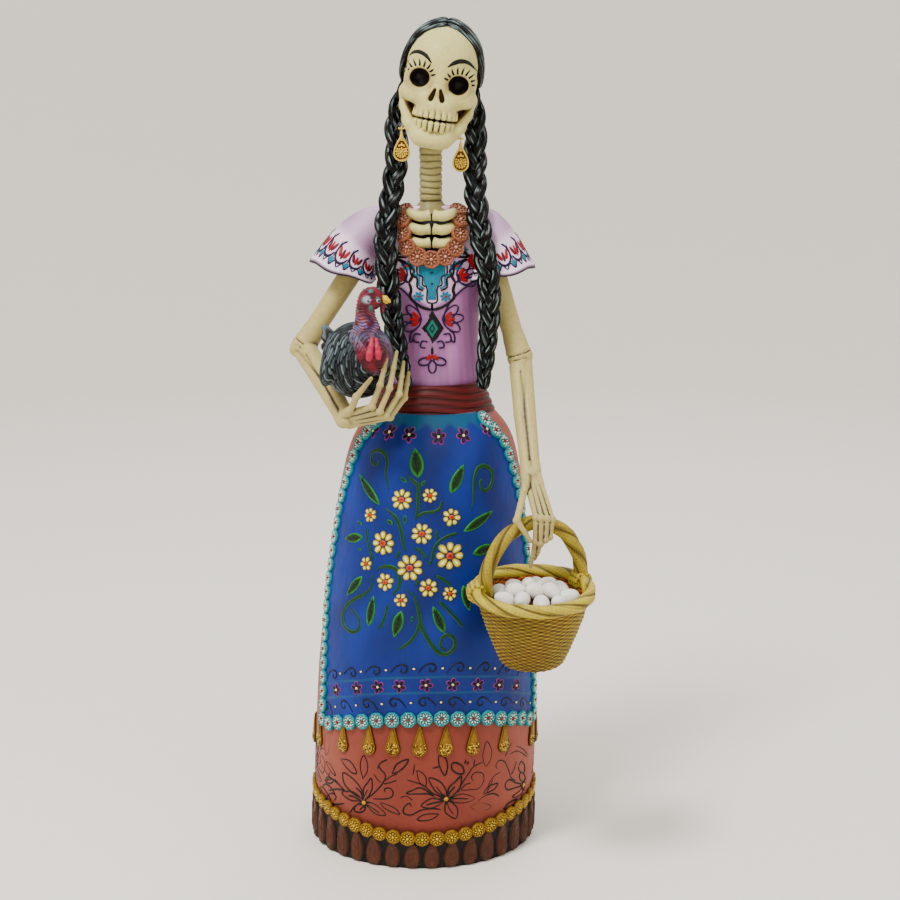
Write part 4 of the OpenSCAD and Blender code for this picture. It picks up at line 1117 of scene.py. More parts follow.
top = in_basket(on_circle(rr, aa, -12 - rr * 0.06 + 0.6 * lump))
under = in_basket(on_circle(rr, aa, -16 + 0 * rr))
points, faces = skin(top, under, True)
fill.add(points, faces, rgb("#8a5a22"))
make("basket_filling", fill, straw_mat, "basket", "basket_straw")


# ---------- arms and hands ----------

# The dark bone colour is the paint's brown wash and also painted shade in hollows
BONE, BONE_WASH_AND_SHADE = rgb("#d8d29c"), rgb("#564022")
# A darker copy of the bone paint for the arms and hands: painted shade
SHADED_ARM_BONE = rgb("#c8be8e")
bone_mat = finish("bone_paint", None, rough=0.5, vary=0.07, vary_per_mm=0.06, bump=0.3, bump_per_mm=0.5,
                  fine=0.25, fine_per_mm=2.5, grime="#8f7440", grime_amount=0.3, coat=0.08)


def clay_piece(name, clay, light, dark, mat, body, slot, *replaced, strength=1.0, tint=None, shift=None):
    """A piece modelled in clay; tint changes its colours, shift takes it to the figure's frame."""
    points, quads = clay.mesh()
    colour = washed_and_shaded(points, quads, light, dark, strength)
    if tint is not None:
        colour = tint(points, colour)
    if shift is not None:
        points = shift(points)
    return make_one(name, points, [quads], colour, mat, body, slot, *replaced)


def arm(side, shoulder, elbow, wrist, offset):
    """One arm bone above the elbow and two below it; offset is from their middle to the first."""
    low = np.minimum.reduce([shoulder, elbow, wrist]) - 14
    high = np.maximum.reduce([shoulder, elbow, wrist]) + 14
    clay = Clay(low, high, 0.9)
    down, fore = unit(elbow - shoulder), unit(wrist - elbow)
    clay.bone(shoulder, elbow - down * 6, 8.6, 7.4, 1)
    clay.bone(elbow - down * 12, elbow - down * 1.5, 7.3, 8.3, 4)
    clay.ball(elbow - down * 1.5, (8.6, 8.2, 8.2), 3)
    middle = (elbow + wrist) / 2
    clay.bone(elbow + offset * 0.3 + fore * 3, middle + offset, 7.4, 4.9, 1.2)
    clay.bone(middle + offset, wrist + offset * 0.7 - fore * 5, 4.9, 4.5, 1)
    clay.bone(elbow - offset * 0.9, wrist - offset * 0.85 - fore * 3, 5.6, 3.9, 1.0)
    clay.ball(elbow - offset * 0.9 - fore * 3.5 + down * 2, (5.4, 5.6, 5.6), 2.5)
    clay.bone(wrist + offset * 0.7 - fore * 6, wrist + offset * 0.55, 4.6, 5.6, 2.5)
    clay.bone(wrist - offset * 0.85 - fore * 5, wrist - offset * 0.8 - fore, 4.0, 4.8, 2)
    n = unit(np.cross(fore, offset))
    for s in (-1, 1):
        clay.bone(elbow + fore * 14 + n * s * 6.4 + offset * 0.1,
                  wrist - fore * 9 + n * s * 4.9 + offset * 0.1,
                  0.6, 0.9, 1.2, True)
    a = np.linspace(0, 2 * np.pi, 40)
    u = unit(np.cross(down, (0, 1, 0)))
    v = np.cross(down, u)
    for lift, part, tilt in ((-3.2, slice(0, 40), 1.6), (3.0, slice(6, 30), -1.5)):
        ring = (elbow + down * lift + 8.7 * (np.cos(a)[:, None] * u + np.sin(a)[:, None] * v)
                + down * tilt * np.sin(a)[:, None])
        clay.line(ring[part], 0.55, 0.5, True)
    clay_piece("arm_" + side, clay, SHADED_ARM_BONE, BONE_WASH_AND_SHADE, bone_mat, "figure", "bone_paint",
               "upper_arm_" + side, "forearm_" + side, strength=1.2)


def hand(side, wrist, spread, knuckles, joints, ends, thumb, back):
    """Bones of a hand; knuckles, joints and ends have a row for each finger, thumb has three points."""
    every = np.vstack([wrist - 6, wrist + 6, knuckles, joints, ends, thumb])
    clay = Clay(every.min(0) - 7, every.max(0) + 7, 0.55)
    clay.ball(wrist, (6.4, 5.6, 5.6), 2)
    for i in range(4):
        root = wrist + (i - 1.5) * spread
        clay.bone(root, root + (knuckles[i] - root) * 0.25, 3.5, 2.8, 1.5)
        clay.bone(root + (knuckles[i] - root) * 0.2, knuckles[i], 2.7, 2.15, 0.8)
        clay.ball(knuckles[i], (3.0, 2.8, 2.8), 0.9)
        if i:
            palm = (knuckles[i] + knuckles[i - 1]) / 2
            clay.bone(wrist - back, palm - unit(palm - wrist) * 5 - back * 1.2, 3.4, 1.7, 1.2)
        clay.bone(knuckles[i], joints[i], 2.2, 1.95, 0.7)
        clay.ball(joints[i], (2.65, 2.5, 2.5), 0.8)
        bend = joints[i] + (ends[i] - joints[i]) * 0.55
        clay.bone(joints[i], bend, 1.95, 1.75, 0.6)
        clay.ball(bend, (2.1, 2.0, 2.0), 0.6)
        clay.bone(bend, ends[i], 1.75, 1.25, 0.5)
        axis = unit(ends[i] - joints[i])
        for at, r in ((knuckles[i] + unit(joints[i] - knuckles[i]) * 2.4, 2.5), (bend - axis * 1.6, 2.0)):
            u = unit(np.cross(unit(joints[i] - knuckles[i]) if r > 2.2 else axis, (0.3, 1, 0.2)))
            w = np.cross(unit(joints[i] - knuckles[i]) if r > 2.2 else axis, u)
            a = np.linspace(0, 2 * np.pi, 14)
            clay.line(at + r * (np.cos(a)[:, None] * u + np.sin(a)[:, None] * w), 0.35, 0.3, True)
    root = wrist - 1.5 * spread
    clay.bone(root, thumb[0], 3.4, 2.8, 1.5)
    clay.bone(thumb[0], thumb[1], 2.5, 2.3, 0.8)
    clay.ball(thumb[1], (2.9, 2.8, 2.8), 0.8)
    clay.bone(thumb[1], thumb[2], 2.3, 1.5, 0.6)
    tips = np.vstack([ends, thumb[2:]])

    # Darker brown towards the fingertips: painted shade
    def fingertip_shade(points, colour):
        near = np.min(np.linalg.norm(points[:, None] - tips[None], axis=-1), axis=1)
        low = np.clip(1 - near / 20, 0, 1)[:, None] * 0.42
        return colour * (1 - low) + rgb("#7a5526") * low

    clay_piece("hand_" + side, clay, SHADED_ARM_BONE, BONE_WASH_AND_SHADE, bone_mat, "figure", "bone_paint", "palm_" + side,
               "fingers_" + side, strength=2.0, tint=fingertip_shade)


WRIST_L, WRIST_R = vec(78, -76, 294), vec(-52, -72, 332)
arm("left", vec(46, 0, 452), vec(71.5, -20, 368), WRIST_L, vec(-3.4, 0, -0.5))
arm("right", vec(-34, 0, 454), vec(-86, -12, 375), WRIST_R, vec(2.8, 0, 2.8))
hand("left", WRIST_L, vec(2.6, 0, 0),
     vec([80.5, -109, 270], [84, -110, 269.5], [87.8, -109.5, 269], [91.5, -108, 268.5]),
     vec([80, -111.5, 253], [83.5, -112, 252], [87, -111, 254.5], [90, -109, 256]),
     vec([77, -106, 234], [80, -104, 239], [86, -98.5, 256.6], [89.5, -98, 256]),
     vec([73.5, -90, 288], [67, -111.5, 268.5], [76.5, -114.5, 254.5]), vec(0, -1, 0.3))
hand("right", WRIST_R, vec(1.4, 0, -2.2),
     vec([-33.5, -93, 345], [-28, -92, 341.5], [-24, -89, 338], [-21, -84, 336]),
     vec([-27.5, -95, 360.5], [-21, -92, 358], [-14.5, -87, 353], [-11, -80, 349]),
     vec([-23, -91, 378.5], [-16, -87, 382.5], [-11.5, -82, 374.5], [-8, -76, 366]),
     vec([-48, -82, 341.5], [-44, -92, 352], [-33.5, -100, 366]), vec(0, -1, 0))


# ---------- blouse, collar, ribs, neck and sash ----------

LILAC, LILAC_DARK, LILAC_LIGHT = rgb("#9a5a96"), rgb("#5e3268"), rgb("#f2e2f2")
VIOLET_LINE, DEEP_LINE = rgb("#43205e"), rgb("#1c0a22")
cloth_mat = finish("blouse_paint", None, rough=0.5, vary=0.08, vary_per_mm=0.04, streak=(1, 1, 0.4),
                   bump=0.3, bump_per_mm=0.3, fine=0.3, fine_per_mm=1.6, wear="#e9d7ee", wear_amount=0.3)
BODY_X = 8
SECTIONS = curve([(326, 36, 30), (347, 34, 26), (388, 34, 27.5), (410, 35.5, 30.5), (430, 37.5, 31),
                  (445, 40, 29), (457, 41, 24.5), (466, 37, 20), (472, 27, 15), (476, 15, 11)], 6)


def half_size(z):
    """Half the width and half the depth of the blouse at a height."""
    return np.interp(z, SECTIONS[:, 0], SECTIONS[:, 1]), np.interp(z, SECTIONS[:, 0], SECTIONS[:, 2])


def on_chest(x, z, out=0.0):
    """A point on the front of the blouse at x and z."""
    x, z, out = same_shape(x, z, out)
    w, d = half_size(z)
    s = np.clip((x - BODY_X) / w, -0.99, 0.99)
    c = np.sqrt(1 - s ** 2)
    normal = unit(np.stack([s / w, -c / d], -1))
    return np.stack([x + normal[..., 0] * out, -d * c + normal[..., 1] * out, z], -1)


def torso(inset):
    """Clay for the body, with the body and the chest opening as distances, shrunk by inset."""
    clay = Clay((BODY_X - 44, -35, 323), (BODY_X + 44, 35, 480), 1.0)
    _, p = clay.block((BODY_X - 44, -35, 323), (BODY_X + 44, 35, 480))
    w, d = half_size(p[..., 2])
    w, d = w - inset, d - inset
    fold = 0.35 * np.sin(np.arctan2(p[..., 1], p[..., 0] - BODY_X) * 6
                         + p[..., 2] * 0.03) * (p[..., 2] < 400)
    k = np.sqrt(((p[..., 0] - BODY_X) / w) ** 2 + (p[..., 1] / d) ** 2)
    body = (k - 1) * np.minimum(w, d) * 0.95 - fold
    body = np.maximum(body, np.maximum(325 - p[..., 2], p[..., 2] - (476.5 - inset)))
    x, z = p[..., 0] - BODY_X + 0.5, p[..., 2]
    bowl = (np.sqrt((x / 17.5) ** 2 + (np.minimum(z - 462, 0) / 17) ** 2) - 1) * 17
    opening = np.maximum(bowl, p[..., 1] + 8)
    return clay, body, opening


clay, body, opening = torso(0)
clay.field[:] = -soft_min(-body, opening, 1.2)


def blouse_tint(points, _):
    x, z = points[:, 0] - BODY_X, points[:, 2]
    # Darker towards the sides of the body and at the bottom above the sash: painted shade; lighter towards
    # the shoulders: painted light from above
    side = np.clip(np.abs(x) / 36, 0, 1)
    base = blend(LILAC_LIGHT * 0.12 + LILAC * 0.88, LILAC_DARK * 0.35 + LILAC * 0.65, 0.75 * side ** 2)
    low = np.clip((352 - z) / 12, 0, 1) * 0.55
    base = blend(base, LILAC_LIGHT, np.clip((z - 440) / 29, 0, 1) ** 1.5 * 0.7)
    base = blend(base, LILAC_DARK, low)
    front = (points[:, 1] < 0) & (z > 392) & (np.abs(x) < 34)
    yoke = np.clip((z - (404 + 0.65 * np.abs(x))) / 3, 0, 1) * np.clip((34 - np.abs(x)) / 6, 0, 1)
    base = blend(base, LILAC_LIGHT, 0.55 * np.where(front, yoke, 0))
    # Brush streaks, and a lighter band down her left front: a painted highlight
    streaks = np.sin(x * 0.9 + 1.5 * np.sin(z * 0.05)) * np.sin(x * 0.37 + z * 0.03 + 2)
    bright = np.exp(-((x - 15) / 8) ** 2) * np.clip((z - 345) / 25, 0, 1)
    base = blend(base, rgb("#dca8d8"), np.clip(0.08 * streaks + 0.5 * bright, 0, 0.6))
    # A dark band under the copper collar: painted shade
    near = np.abs(np.hypot(x + 0.5, (z - 458.5) * 20.5 / 18) - 21)
    return blend(base, rgb("#3b2a72"),
                 np.where((z < 462) & (points[:, 1] < -6), np.clip(1 - near / 6.5, 0, 1) * 0.8, 0))


clay_piece("blouse", clay, LILAC, LILAC_DARK, cloth_mat, "figure", "blouse_paint", "bodice",
           tint=blouse_tint)
clay, body, opening = torso(5)
clay.field[:] = np.maximum(body, opening - 0.2)
clay_piece("chest_hollow", clay, rgb("#0a0807"), rgb("#050404"),
           finish("chest_black", "#0b0908", rough=0.7),
           "figure", "chest_black", "chest_core")

chest = Pile()
TEAL_PAINT, RED_PAINT = rgb("#0a94a8"), rgb("#b3142a")


def on_chest_raised(raised):
    return lambda x, z, out: on_chest(x, z, np.asarray(out) + raised)


def mirrored(points, flip):
    return [(BODY_X + flip * (x - BODY_X), z) for x, z in points]


skin_low, skin_mid = on_chest_raised(0.0), on_chest_raised(0.3)
half_step = [(10.5, 441), (9.8, 434), (9.8, 430), (6.2, 427.5), (6.2, 423), (3, 420.5), (3, 411)]
step_shape = [(-10.5, 441)] + half_step + [(-x, z) for x, z in half_step[:0:-1]]
blob(chest, skin_low, [(BODY_X + x, z) for x, z in step_shape], 0.35, TEAL_PAINT, centre=(BODY_X, 427))
for flip in (-1, 1):
    for path, width, tint in (
            ([(21.5, 437), (21, 430.5), (17.2, 428), (17, 422), (13.4, 419.5)], 1.1, TEAL_PAINT),
            ([(23.6, 439), (23, 429.5), (18.8, 427), (18.5, 420.5), (14, 418)], 1.0, DEEP_LINE),
            ([(18.7, 437), (18.5, 430), (14.9, 428), (14.9, 422.6), (11.7, 420), (11.6, 410.6), (8, 409)],
             0.8, DEEP_LINE),
            ([(8, 409), (8, 404)], 1.3, DEEP_LINE),
            ([(8, 404), (16, 406.5), (23.5, 412.5), (23, 418.5), (24.5, 423.5)], 1.5, DEEP_LINE),
            ([(24.5, 423.5), (21, 432), (26, 437), (33, 440)], 1.5, DEEP_LINE),
            ([(24.5, 423.5), (30, 426), (35, 427)], 1.3, VIOLET_LINE),
            ([(28, 451), (31, 445), (36, 441)], 1.4, DEEP_LINE),
            ([(26, 442), (31, 441.5), (37, 442)], 1.2, DEEP_LINE),
            ([(15, 396), (20, 408), (28, 417), (33, 420)], 0.9, VIOLET_LINE),
            ([(31, 425), (36, 429), (38, 424), (33, 421.5), (29, 423)], 0.9, VIOLET_LINE)):
        stroke(chest, skin_mid, mirrored(path, flip), 1.45 * width, 0.35, tint, 5)
    for cx, cz, r in ((26, 435.5, 4.2), (17.6, 413.8, 4.0), (30.5, 446, 3.4)):
        x0 = BODY_X + flip * (cx - BODY_X)
        for j in range(7):
            b = 2 * np.pi * j / 7 + 0.3
            petal = oval(x0 + 0.55 * r * math.cos(b), cz + 0.55 * r * math.sin(b), 0.5 * r, 0.3 * r,
                         math.degrees(b), 8)
            blob(chest, skin_low, petal, 0.42, TEAL_PAINT)
        blob(chest, skin_mid, oval(x0, cz, 0.27 * r, 0.27 * r, 0, 8), 0.45, RED_PAINT)
    for cx, cz, tilt, count in ((16.5, 396.5, 5, 3), (26.5, 427.5, 14, 3), (34, 436, 30, 3)):
        for j in range(count):
            b = math.radians(tilt + 42 * (1 - j))
            c, s = math.cos(b) * flip, math.sin(b)
            x0 = BODY_X + flip * (cx - BODY_X)
            turn_by = math.degrees(math.atan2(s, c))
            blob(chest, skin_mid, oval(x0 + 4.4 * c, cz + 4.4 * s, 3.7, 1.6, turn_by, 10), 0.45, RED_PAINT)
            if tilt != 30:
                loop = oval(x0 + 7.0 * c, cz + 7.0 * s, 7.0, 3.3, turn_by, 14)
                stroke(chest, skin_mid, np.vstack([loop, loop[:1]]), 1.15, 0.35, VIOLET_LINE, 3)
    for path in ([(11, 380.5), (15, 381), (16.5, 377), (12.5, 376)],
                 [(16, 386), (20.5, 386), (21.5, 381), (17, 380)],
                 [(20, 389.5), (23.5, 386), (24, 380), (20.5, 382)]):
        stroke(chest, skin_mid, mirrored(path, flip), 1.2, 0.35, VIOLET_LINE, 5)
for size, tint in ((1.0, DEEP_LINE), (0.56, rgb("#0e8f86")), (0.34, DEEP_LINE), (0.2, rgb("#0e8f86"))):
    diamond = [(8 + 8.4 * size * x, 390.5 + 14 * size * z) for x, z in
               ((0, 1), (0.5, 0.5), (1, 0), (0.5, -0.5), (0, -1), (-0.5, -0.5), (-1, 0), (-0.5, 0.5))]
    blob(chest, on_chest_raised(0.35 * (1 - size)), diamond[::-1], 0.45, tint, centre=(8, 390.5))
for x in (-2.2, 0, 2.2):
    blob(chest, skin_mid, oval(BODY_X, 431 + 3.6 * x, 0.9, 0.8, 0, 8), 0.3, DEEP_LINE)
stroke(chest, skin_mid, [(8, 377), (8, 370)], 2.0, 0.4, DEEP_LINE, 4)
for b in (-165, -90, -15):
    c, s = math.cos(math.radians(b)), math.sin(math.radians(b))
    loop = oval(8 + 5.6 * c, 367.5 + 5.2 * s, 4.6, 2.7, b, 14)
    stroke(chest, skin_mid, np.vstack([loop, loop[:1]]), 1.4, 0.4, VIOLET_LINE, 3)
for b in (200, 160, 125, 90, 55, 20, -20):
    c, s = math.cos(math.radians(b)), math.sin(math.radians(b))
    blob(chest, skin_mid, oval(8 + 3 * c, 368.6 + 1.6 * s, 2.0, 1.0, b, 8), 0.5, RED_PAINT)
make("blouse_embroidery", chest,
     finish("blouse_paints", None, rough=0.45, vary=0.18, vary_per_mm=0.25, bump=0.3,
            bump_per_mm=1.2, fine=0.3), "figure", "blouse_paint")

# Sleeves: flared caps with a rolled hem, painted with loops and petals
LEFT_RINGS = [(31, 462, 13, 14, 0), (37, 459, 16, 17, 28), (42, 451, 18, 20, 50), (46, 440, 21, 23, 68),
              (49, 428, 25, 25, 80)]
RIGHT_RINGS = [(33, 463, 13, 14, 0), (42, 460, 16, 17, 24), (52, 452, 18, 20, 44), (59, 441, 21, 23, 60),
               (65, 429, 24.5, 25, 72)]
for name, side, given in (("left", 1, LEFT_RINGS), ("right", -1, RIGHT_RINGS)):
    spine = np.array(given, float)
    knots = np.linspace(0, 1, len(spine))
    fine_knots = np.linspace(0, 1, 8 * (len(spine) - 1) + 1)
    smooth_rings = np.column_stack([curve(np.column_stack([knots, spine[:, c], 0 * knots]), 8)[:, 1]
                                    for c in range(5)])

    def on_sleeve(t, angle, out, side=side, rings=smooth_rings, knots=fine_knots):
        """t runs from 0 at the shoulder to 1 at the hem; angle goes round, 0 on the upper side."""
        t, angle, out = same_shape(t, angle, out)
        sx, sz, w, d, tilt = [np.interp(t, knots, rings[:, c]) for c in range(5)]
        a, tl = np.radians(angle), np.radians(tilt)
        wave = 1 + 0.035 * t ** 3 * np.cos(5 * a + 0.6)
        w, d = (w + out) * wave, (d + out) * wave
        return np.stack([BODY_X + side * sx + w * np.cos(a) * side * np.sin(tl),
                         -2 - 4 * tilt / 90 - d * np.sin(a),
                         sz + w * np.cos(a) * np.cos(tl) - 0.8 * t ** 4 * np.cos(5 * a)], -1)

    t, a = lattice(np.concatenate([np.linspace(0, 0.97, 46), [0.985, 1.0]]),
                   np.linspace(0, 360, 120, False))
    roll = 1.1 * np.exp(-((t - 0.965) / 0.03) ** 2)
    outer, inner = on_sleeve(t, a, 0.2 + roll), on_sleeve(t, a, -1.5 + 0 * t)
    points, faces = skin(outer if side > 0 else outer[:, ::-1], inner if side > 0 else inner[:, ::-1], True)
    band = np.clip((t - 0.5) / 0.1, 0, 1)
    tint = blend(LILAC * 0.5 + LILAC_LIGHT * 0.5, LILAC_LIGHT, 0.75 * band)
    tint = blend(tint, LILAC,
                 0.5 * np.exp(-((t - 0.42) / 0.16) ** 2) * (0.6 + 0.4 * np.cos(np.radians(a) * 3)))
    tint = blend(tint, rgb("#4a1e52"), np.clip((t - 0.955) / 0.02, 0, 1))
    inner_tint = np.broadcast_to(rgb("#6a4a3a"), tint.shape)
    if side < 0:
        tint, inner_tint = tint[:, ::-1], inner_tint[:, ::-1]
    make_one("cap_sleeve_" + name, points, faces,
             np.concatenate([tint.reshape(-1, 3), inner_tint.reshape(-1, 3)]), cloth_mat, "figure",
             "blouse_paint", "sleeve_" + name)

    trim = Pile()
    scale = (42.0, 0.4)

    def raised(up, on_sleeve=on_sleeve):
        return lambda t, angle, out: on_sleeve(t, angle, np.asarray(out) + up)

    def patch(t0, a0, across, up):
        """Turns millimetres round and along the sleeve into its own coordinates."""
        return np.column_stack([t0 + np.asarray(up) / scale[0], a0 + np.asarray(across) / scale[1]])

    for k in range(12):
        a0 = 15 + 30 * k
        fan = oval(0, 0, 6.5, 5.6, 90, 16)
        arc = fan[1:12]
        stroke(trim, raised(0.25), patch(0.72, a0, arc[:, 0], -arc[:, 1] * 0.9), 1.5, 0.35, VIOLET_LINE, 3,
               scale)
        for j in (-1, 0, 1):
            petal = oval(2.9 * j, -0.4 - 0.6 * (j == 0), 3.0, 1.25, 90 - 28 * j, 9)
            blob(trim, raised(0.3), patch(0.72, a0, petal[:, 0], -petal[:, 1]), 0.45,
                 RED_PAINT if (k + j) % 2 else rgb("#8a1c4a"))
        dot = oval(0, 0, 2.1, 1.7, 0, 8)
        blob(trim, raised(0.3), patch(0.86, a0 + 15, dot[:, 0], dot[:, 1]), 0.4, TEAL_PAINT)
        stroke(trim, raised(0.25), patch(0, 0, [0, 0], [0, 0]) + [[0.62, a0 + 15], [0.92, a0 + 15]], 0.9,
               0.35, VIOLET_LINE, 4, scale)
        zig = np.array([(0.92, a0), (0.85, a0 + 7.5), (0.92, a0 + 15), (0.85, a0 + 22.5), (0.92, a0 + 30)])
        stroke(trim, raised(0.25), zig, 1.0, 0.3, VIOLET_LINE, 4, scale)
    make("sleeve_embroidery_" + name, trim, bpy.data.materials["blouse_paints"], "figure", "blouse_paint")

# Copper lace collar
COPPER, COPPER_LIGHT = rgb("#b07e62"), rgb("#e4bca6")
collar = Pile()
half_u = [(0, -31.6, 440.5), (9.5, -30.4, 442.3), (16.8, -27.5, 448.5), (19.8, -23.6, 457.5),
          (20.2, -18.4, 466.6), (19.4, -10.5, 473.8)]
collar_line = np.array([(-x, y, z) for x, y, z in half_u[:0:-1]] + half_u, float) + [BODY_X - 0.5, 0, 0]
for i, hub in enumerate(collar_line):
    part = abs(i - 5) / 5
    outward = unit(vec((hub[0] - BODY_X) * 0.02, -1 + 0.55 * part, 0.15 + 0.9 * part ** 2))
    along = unit(collar_line[min(i + 1, 10)] - collar_line[max(i - 1, 0)])
    up = np.cross(outward, along)
    along = np.cross(up, outward)

    def place(x, y, out, hub=hub, axes=(along, up, outward)):
        x, y, out = same_shape(x, y, out)
        return hub + x[..., None] * axes[0] + y[..., None] * axes[1] + (out[..., None] + 0.5) * axes[2]

    rosette(collar, place, 6.7 + 0.25 * math.sin(2 * i), 2.2, COPPER, COPPER_LIGHT * 0.5 + COPPER * 0.5,
            COPPER_LIGHT, 8, phase=i * 0.8)
make("copper_collar", collar,
     finish("copper_lace", None, rough=0.5, metal=0.15, vary=0.15, vary_per_mm=0.2, bump=0.5,
            bump_per_mm=1.6, fine=0.3, grime="#2a100a", grime_amount=0.5),
     "figure", "copper_lace", "collar_lace")

# Ribs, three a side, split in the middle
for name, side in (("left", 1), ("right", -1)):
    ribs = Pile()
    for i in range(3):
        path = curve([(0.5, -25.8, 0), (7.5, -26.5, -0.9), (13, -22.6, 0.2), (16, -14, 1.2)], 9)
        path = path * [side, 1, 1] + [BODY_X - 0.3, 0, 471.8 - 9.8 * i]
        s = np.linspace(0, 1, len(path))
        knob, waist = np.exp(-((s - 0.04) / 0.07) ** 2), np.exp(-((s - 0.2) / 0.08) ** 2)
        radius = 4.0 + 0.35 * knob - 0.35 * waist - 0.8 * s ** 3
        points, faces = tube(path, radius, 22, 0.95, (0, 0, 1), blunt=0.22)
        along = np.concatenate([np.repeat(s, 22), [0, 1]])
        # Darker at both ends of each rib, where it meets the body and the middle split, and along one side:
        # painted shade over the bone's wash
        wash_and_shade = np.clip(1 - along / 0.07, 0, 1) * 0.8 + np.clip((along - 0.6) / 0.4, 0, 1) * 0.7
        around = np.concatenate([np.tile(np.arange(22), len(path)), [0, 0]])
        wash_and_shade = wash_and_shade + 0.25 * np.clip(np.sin(around * 2 * np.pi / 22 + 2.5), 0, 1)
        ribs.add(points, faces, blend(BONE, BONE_WASH_AND_SHADE, wash_and_shade))
    make("rib_bones_" + name, ribs, bone_mat, "figure", "bone_paint", "ribs_" + name)

# Neck: soft stacked rings on a flared foot
v, a = lattice(np.linspace(-0.06, 1.5, 210), np.linspace(0, 2 * np.pi, 60, False))
part = (v * 9 + 0.06 * np.sin(a * 2 + v * 9)) % 1
ring = 1 - np.abs(2 * part - 1) ** 2.8
flare = 6.2 * np.clip(1 - (v + 0.06) / 0.17, 0, 1) ** 1.8
r = (7.4 + 0.95 * ring * (v > 0.09) + 0.9 * np.clip((v - 0.85) / 0.4, 0, 1) + 0.8 * (v <= 0.09)
     + flare + 0.15 * np.sin(3 * a + 20 * v))
neck_points = on_circle(r, a, v * 43.3)
neck_points = turn(neck_points, 0, 6.6) + vec(7, -1, 476)
points, faces = lofted(neck_points)
# Darker in the grooves between the rings and at the foot: painted shade over the bone's wash
wash_and_shade = 0.3 + np.clip(0.6 - ring * 0.7, 0, 0.42) * (v > 0.09) + 0.3 * np.clip(1 - v * 4, 0, 1)
make_one("neck_rings", points, faces,
         np.concatenate([blend(BONE, BONE_WASH_AND_SHADE, wash_and_shade + 0.08).reshape(-1, 3), [BONE, BONE]]), bone_mat,
         "figure", "bone_paint", "neck_bones")

# Sash: wrapped cloth with folds that run round the waist
v, a = lattice(np.linspace(0, 1, 60), np.linspace(0, 2 * np.pi, 150, False))
z = 322.5 + 26 * v
rx = np.interp(v, [0, 0.28, 0.6, 1], [47.5, 44.6, 41.4, 37.6])
ry = np.interp(v, [0, 0.28, 0.6, 1], [43.5, 39.6, 35, 29.9])
q = v * 5.2 + 0.35 * np.sin(a + 0.5) + 0.2 * np.sin(2 * a + 2) + 0.12 * np.sin(5 * a)
fold = np.abs(np.sin(np.pi * q)) ** 0.7 + 0.3 * np.abs(np.sin(np.pi * (q * 2.6 + 0.4 * np.sin(3 * a))))
grow = 1.15 * fold - 0.9 - 1.6 * np.clip(v - 0.96, 0, 1) * 25 * 0.3 - 1.6 * np.clip(0.04 - v, 0, 1) * 8
outer = np.stack([BODY_X + (rx + grow) * np.cos(a), (ry + grow) * np.sin(a), z], -1)
inner = np.stack([BODY_X + (rx - 3.4) * np.cos(a), (ry - 3.4) * np.sin(a), z], -1)
points, faces = skin(outer, inner, True)
# Darker in the folds' hollows and lighter on their crests: painted shade and highlight
tint = blend(rgb("#300705"), rgb("#7c1c14"), fold * 0.95 - 0.1)
make_one("sash", points, faces, np.tile(tint.reshape(-1, 3), (2, 1)),
         finish("sash_paint", None, rough=0.5, vary=0.12, vary_per_mm=0.05, streak=(0.5, 0.5, 2), bump=0.3,
                bump_per_mm=0.6, fine=0.3), "figure", "sash_paint", "waist_sash")


# ---------- skull, teeth, brows, hair, braids and earrings ----------

HEAD_AT, HEAD_TILT = vec(6.8, -6, 520), 9


def in_head(p):
    """From the head's own frame, chin at the origin, to the figure's."""
    return turn(np.asarray(p, float), 1, HEAD_TILT) + HEAD_AT


def front_of(clay):
    """Functions of x and z in the head's frame: the front's depth y, and a point raised from it by out."""
    f = clay.field
    first = np.argmax(f < 0, axis=1)
    i, k = np.indices(first.shape)
    a, b = f[i, np.maximum(first - 1, 0), k], f[i, first, k]
    y = clay.low[1] + clay.step * (first - 1 + a / np.where(a == b, 1, a - b))
    y[first == 0] = 0
    for _ in range(2):
        y = (y + np.roll(y, 1, 0) + np.roll(y, -1, 0) + np.roll(y, 1, 1) + np.roll(y, -1, 1)) / 5
    slope_x, slope_z = np.gradient(y, clay.step)

    def sample(table, x, z):
        u, v = (x - clay.low[0]) / clay.step, (z - clay.low[2]) / clay.step
        i, k = np.clip(u.astype(int), 0, table.shape[0] - 2), np.clip(v.astype(int), 0, table.shape[1] - 2)
        u, v = u - i, v - k
        return ((1 - u) * (1 - v) * table[i, k] + u * (1 - v) * table[i + 1, k]
                + (1 - u) * v * table[i, k + 1] + u * v * table[i + 1, k + 1])

    def depth(x, z):
        return sample(y, x, z)

    def place(x, z, out):
        x, z, out = same_shape(x, z, out)
        n = unit(np.stack([sample(slope_x, x, z), -np.ones_like(x), sample(slope_z, x, z)], -1))
        return in_head(np.stack([x, sample(y, x, z), z], -1) + n * out[..., None])

    return depth, place


clay = Clay((-34, -42, -6), (34, 44, 92), 0.7)
clay.ball((0, 4, 54.5), (27, 35, 32.3), 1)
clay.ball((0, -13, 61), (20.5, 18.5, 20), 7)
for s in (-1, 1):
    clay.ball((s * 14, -16, 47), (12.3, 14.5, 12.5), 5)
    clay.bone((s * 19, -18.5, 35.5), (s * 23.2, 2, 35.5), 5.2, 4.2, 6)
    clay.bone((s * 18.5, -20, 35.5), (s * 9, -26, 34), 5.8, 5.5, 6)
    clay.bone((s * 23.2, 2, 35), (s * 22, 10, 24), 4.2, 5, 4)
clay.bone((0, -27, 52), (0, -29.8, 40), 3.6, 3.6, 7)
clay.ball((0, -21.5, 26.5), (14.6, 11.6, 9.5), 5)
clay.ball((0, -2, 38), (19, 24, 16), 6)
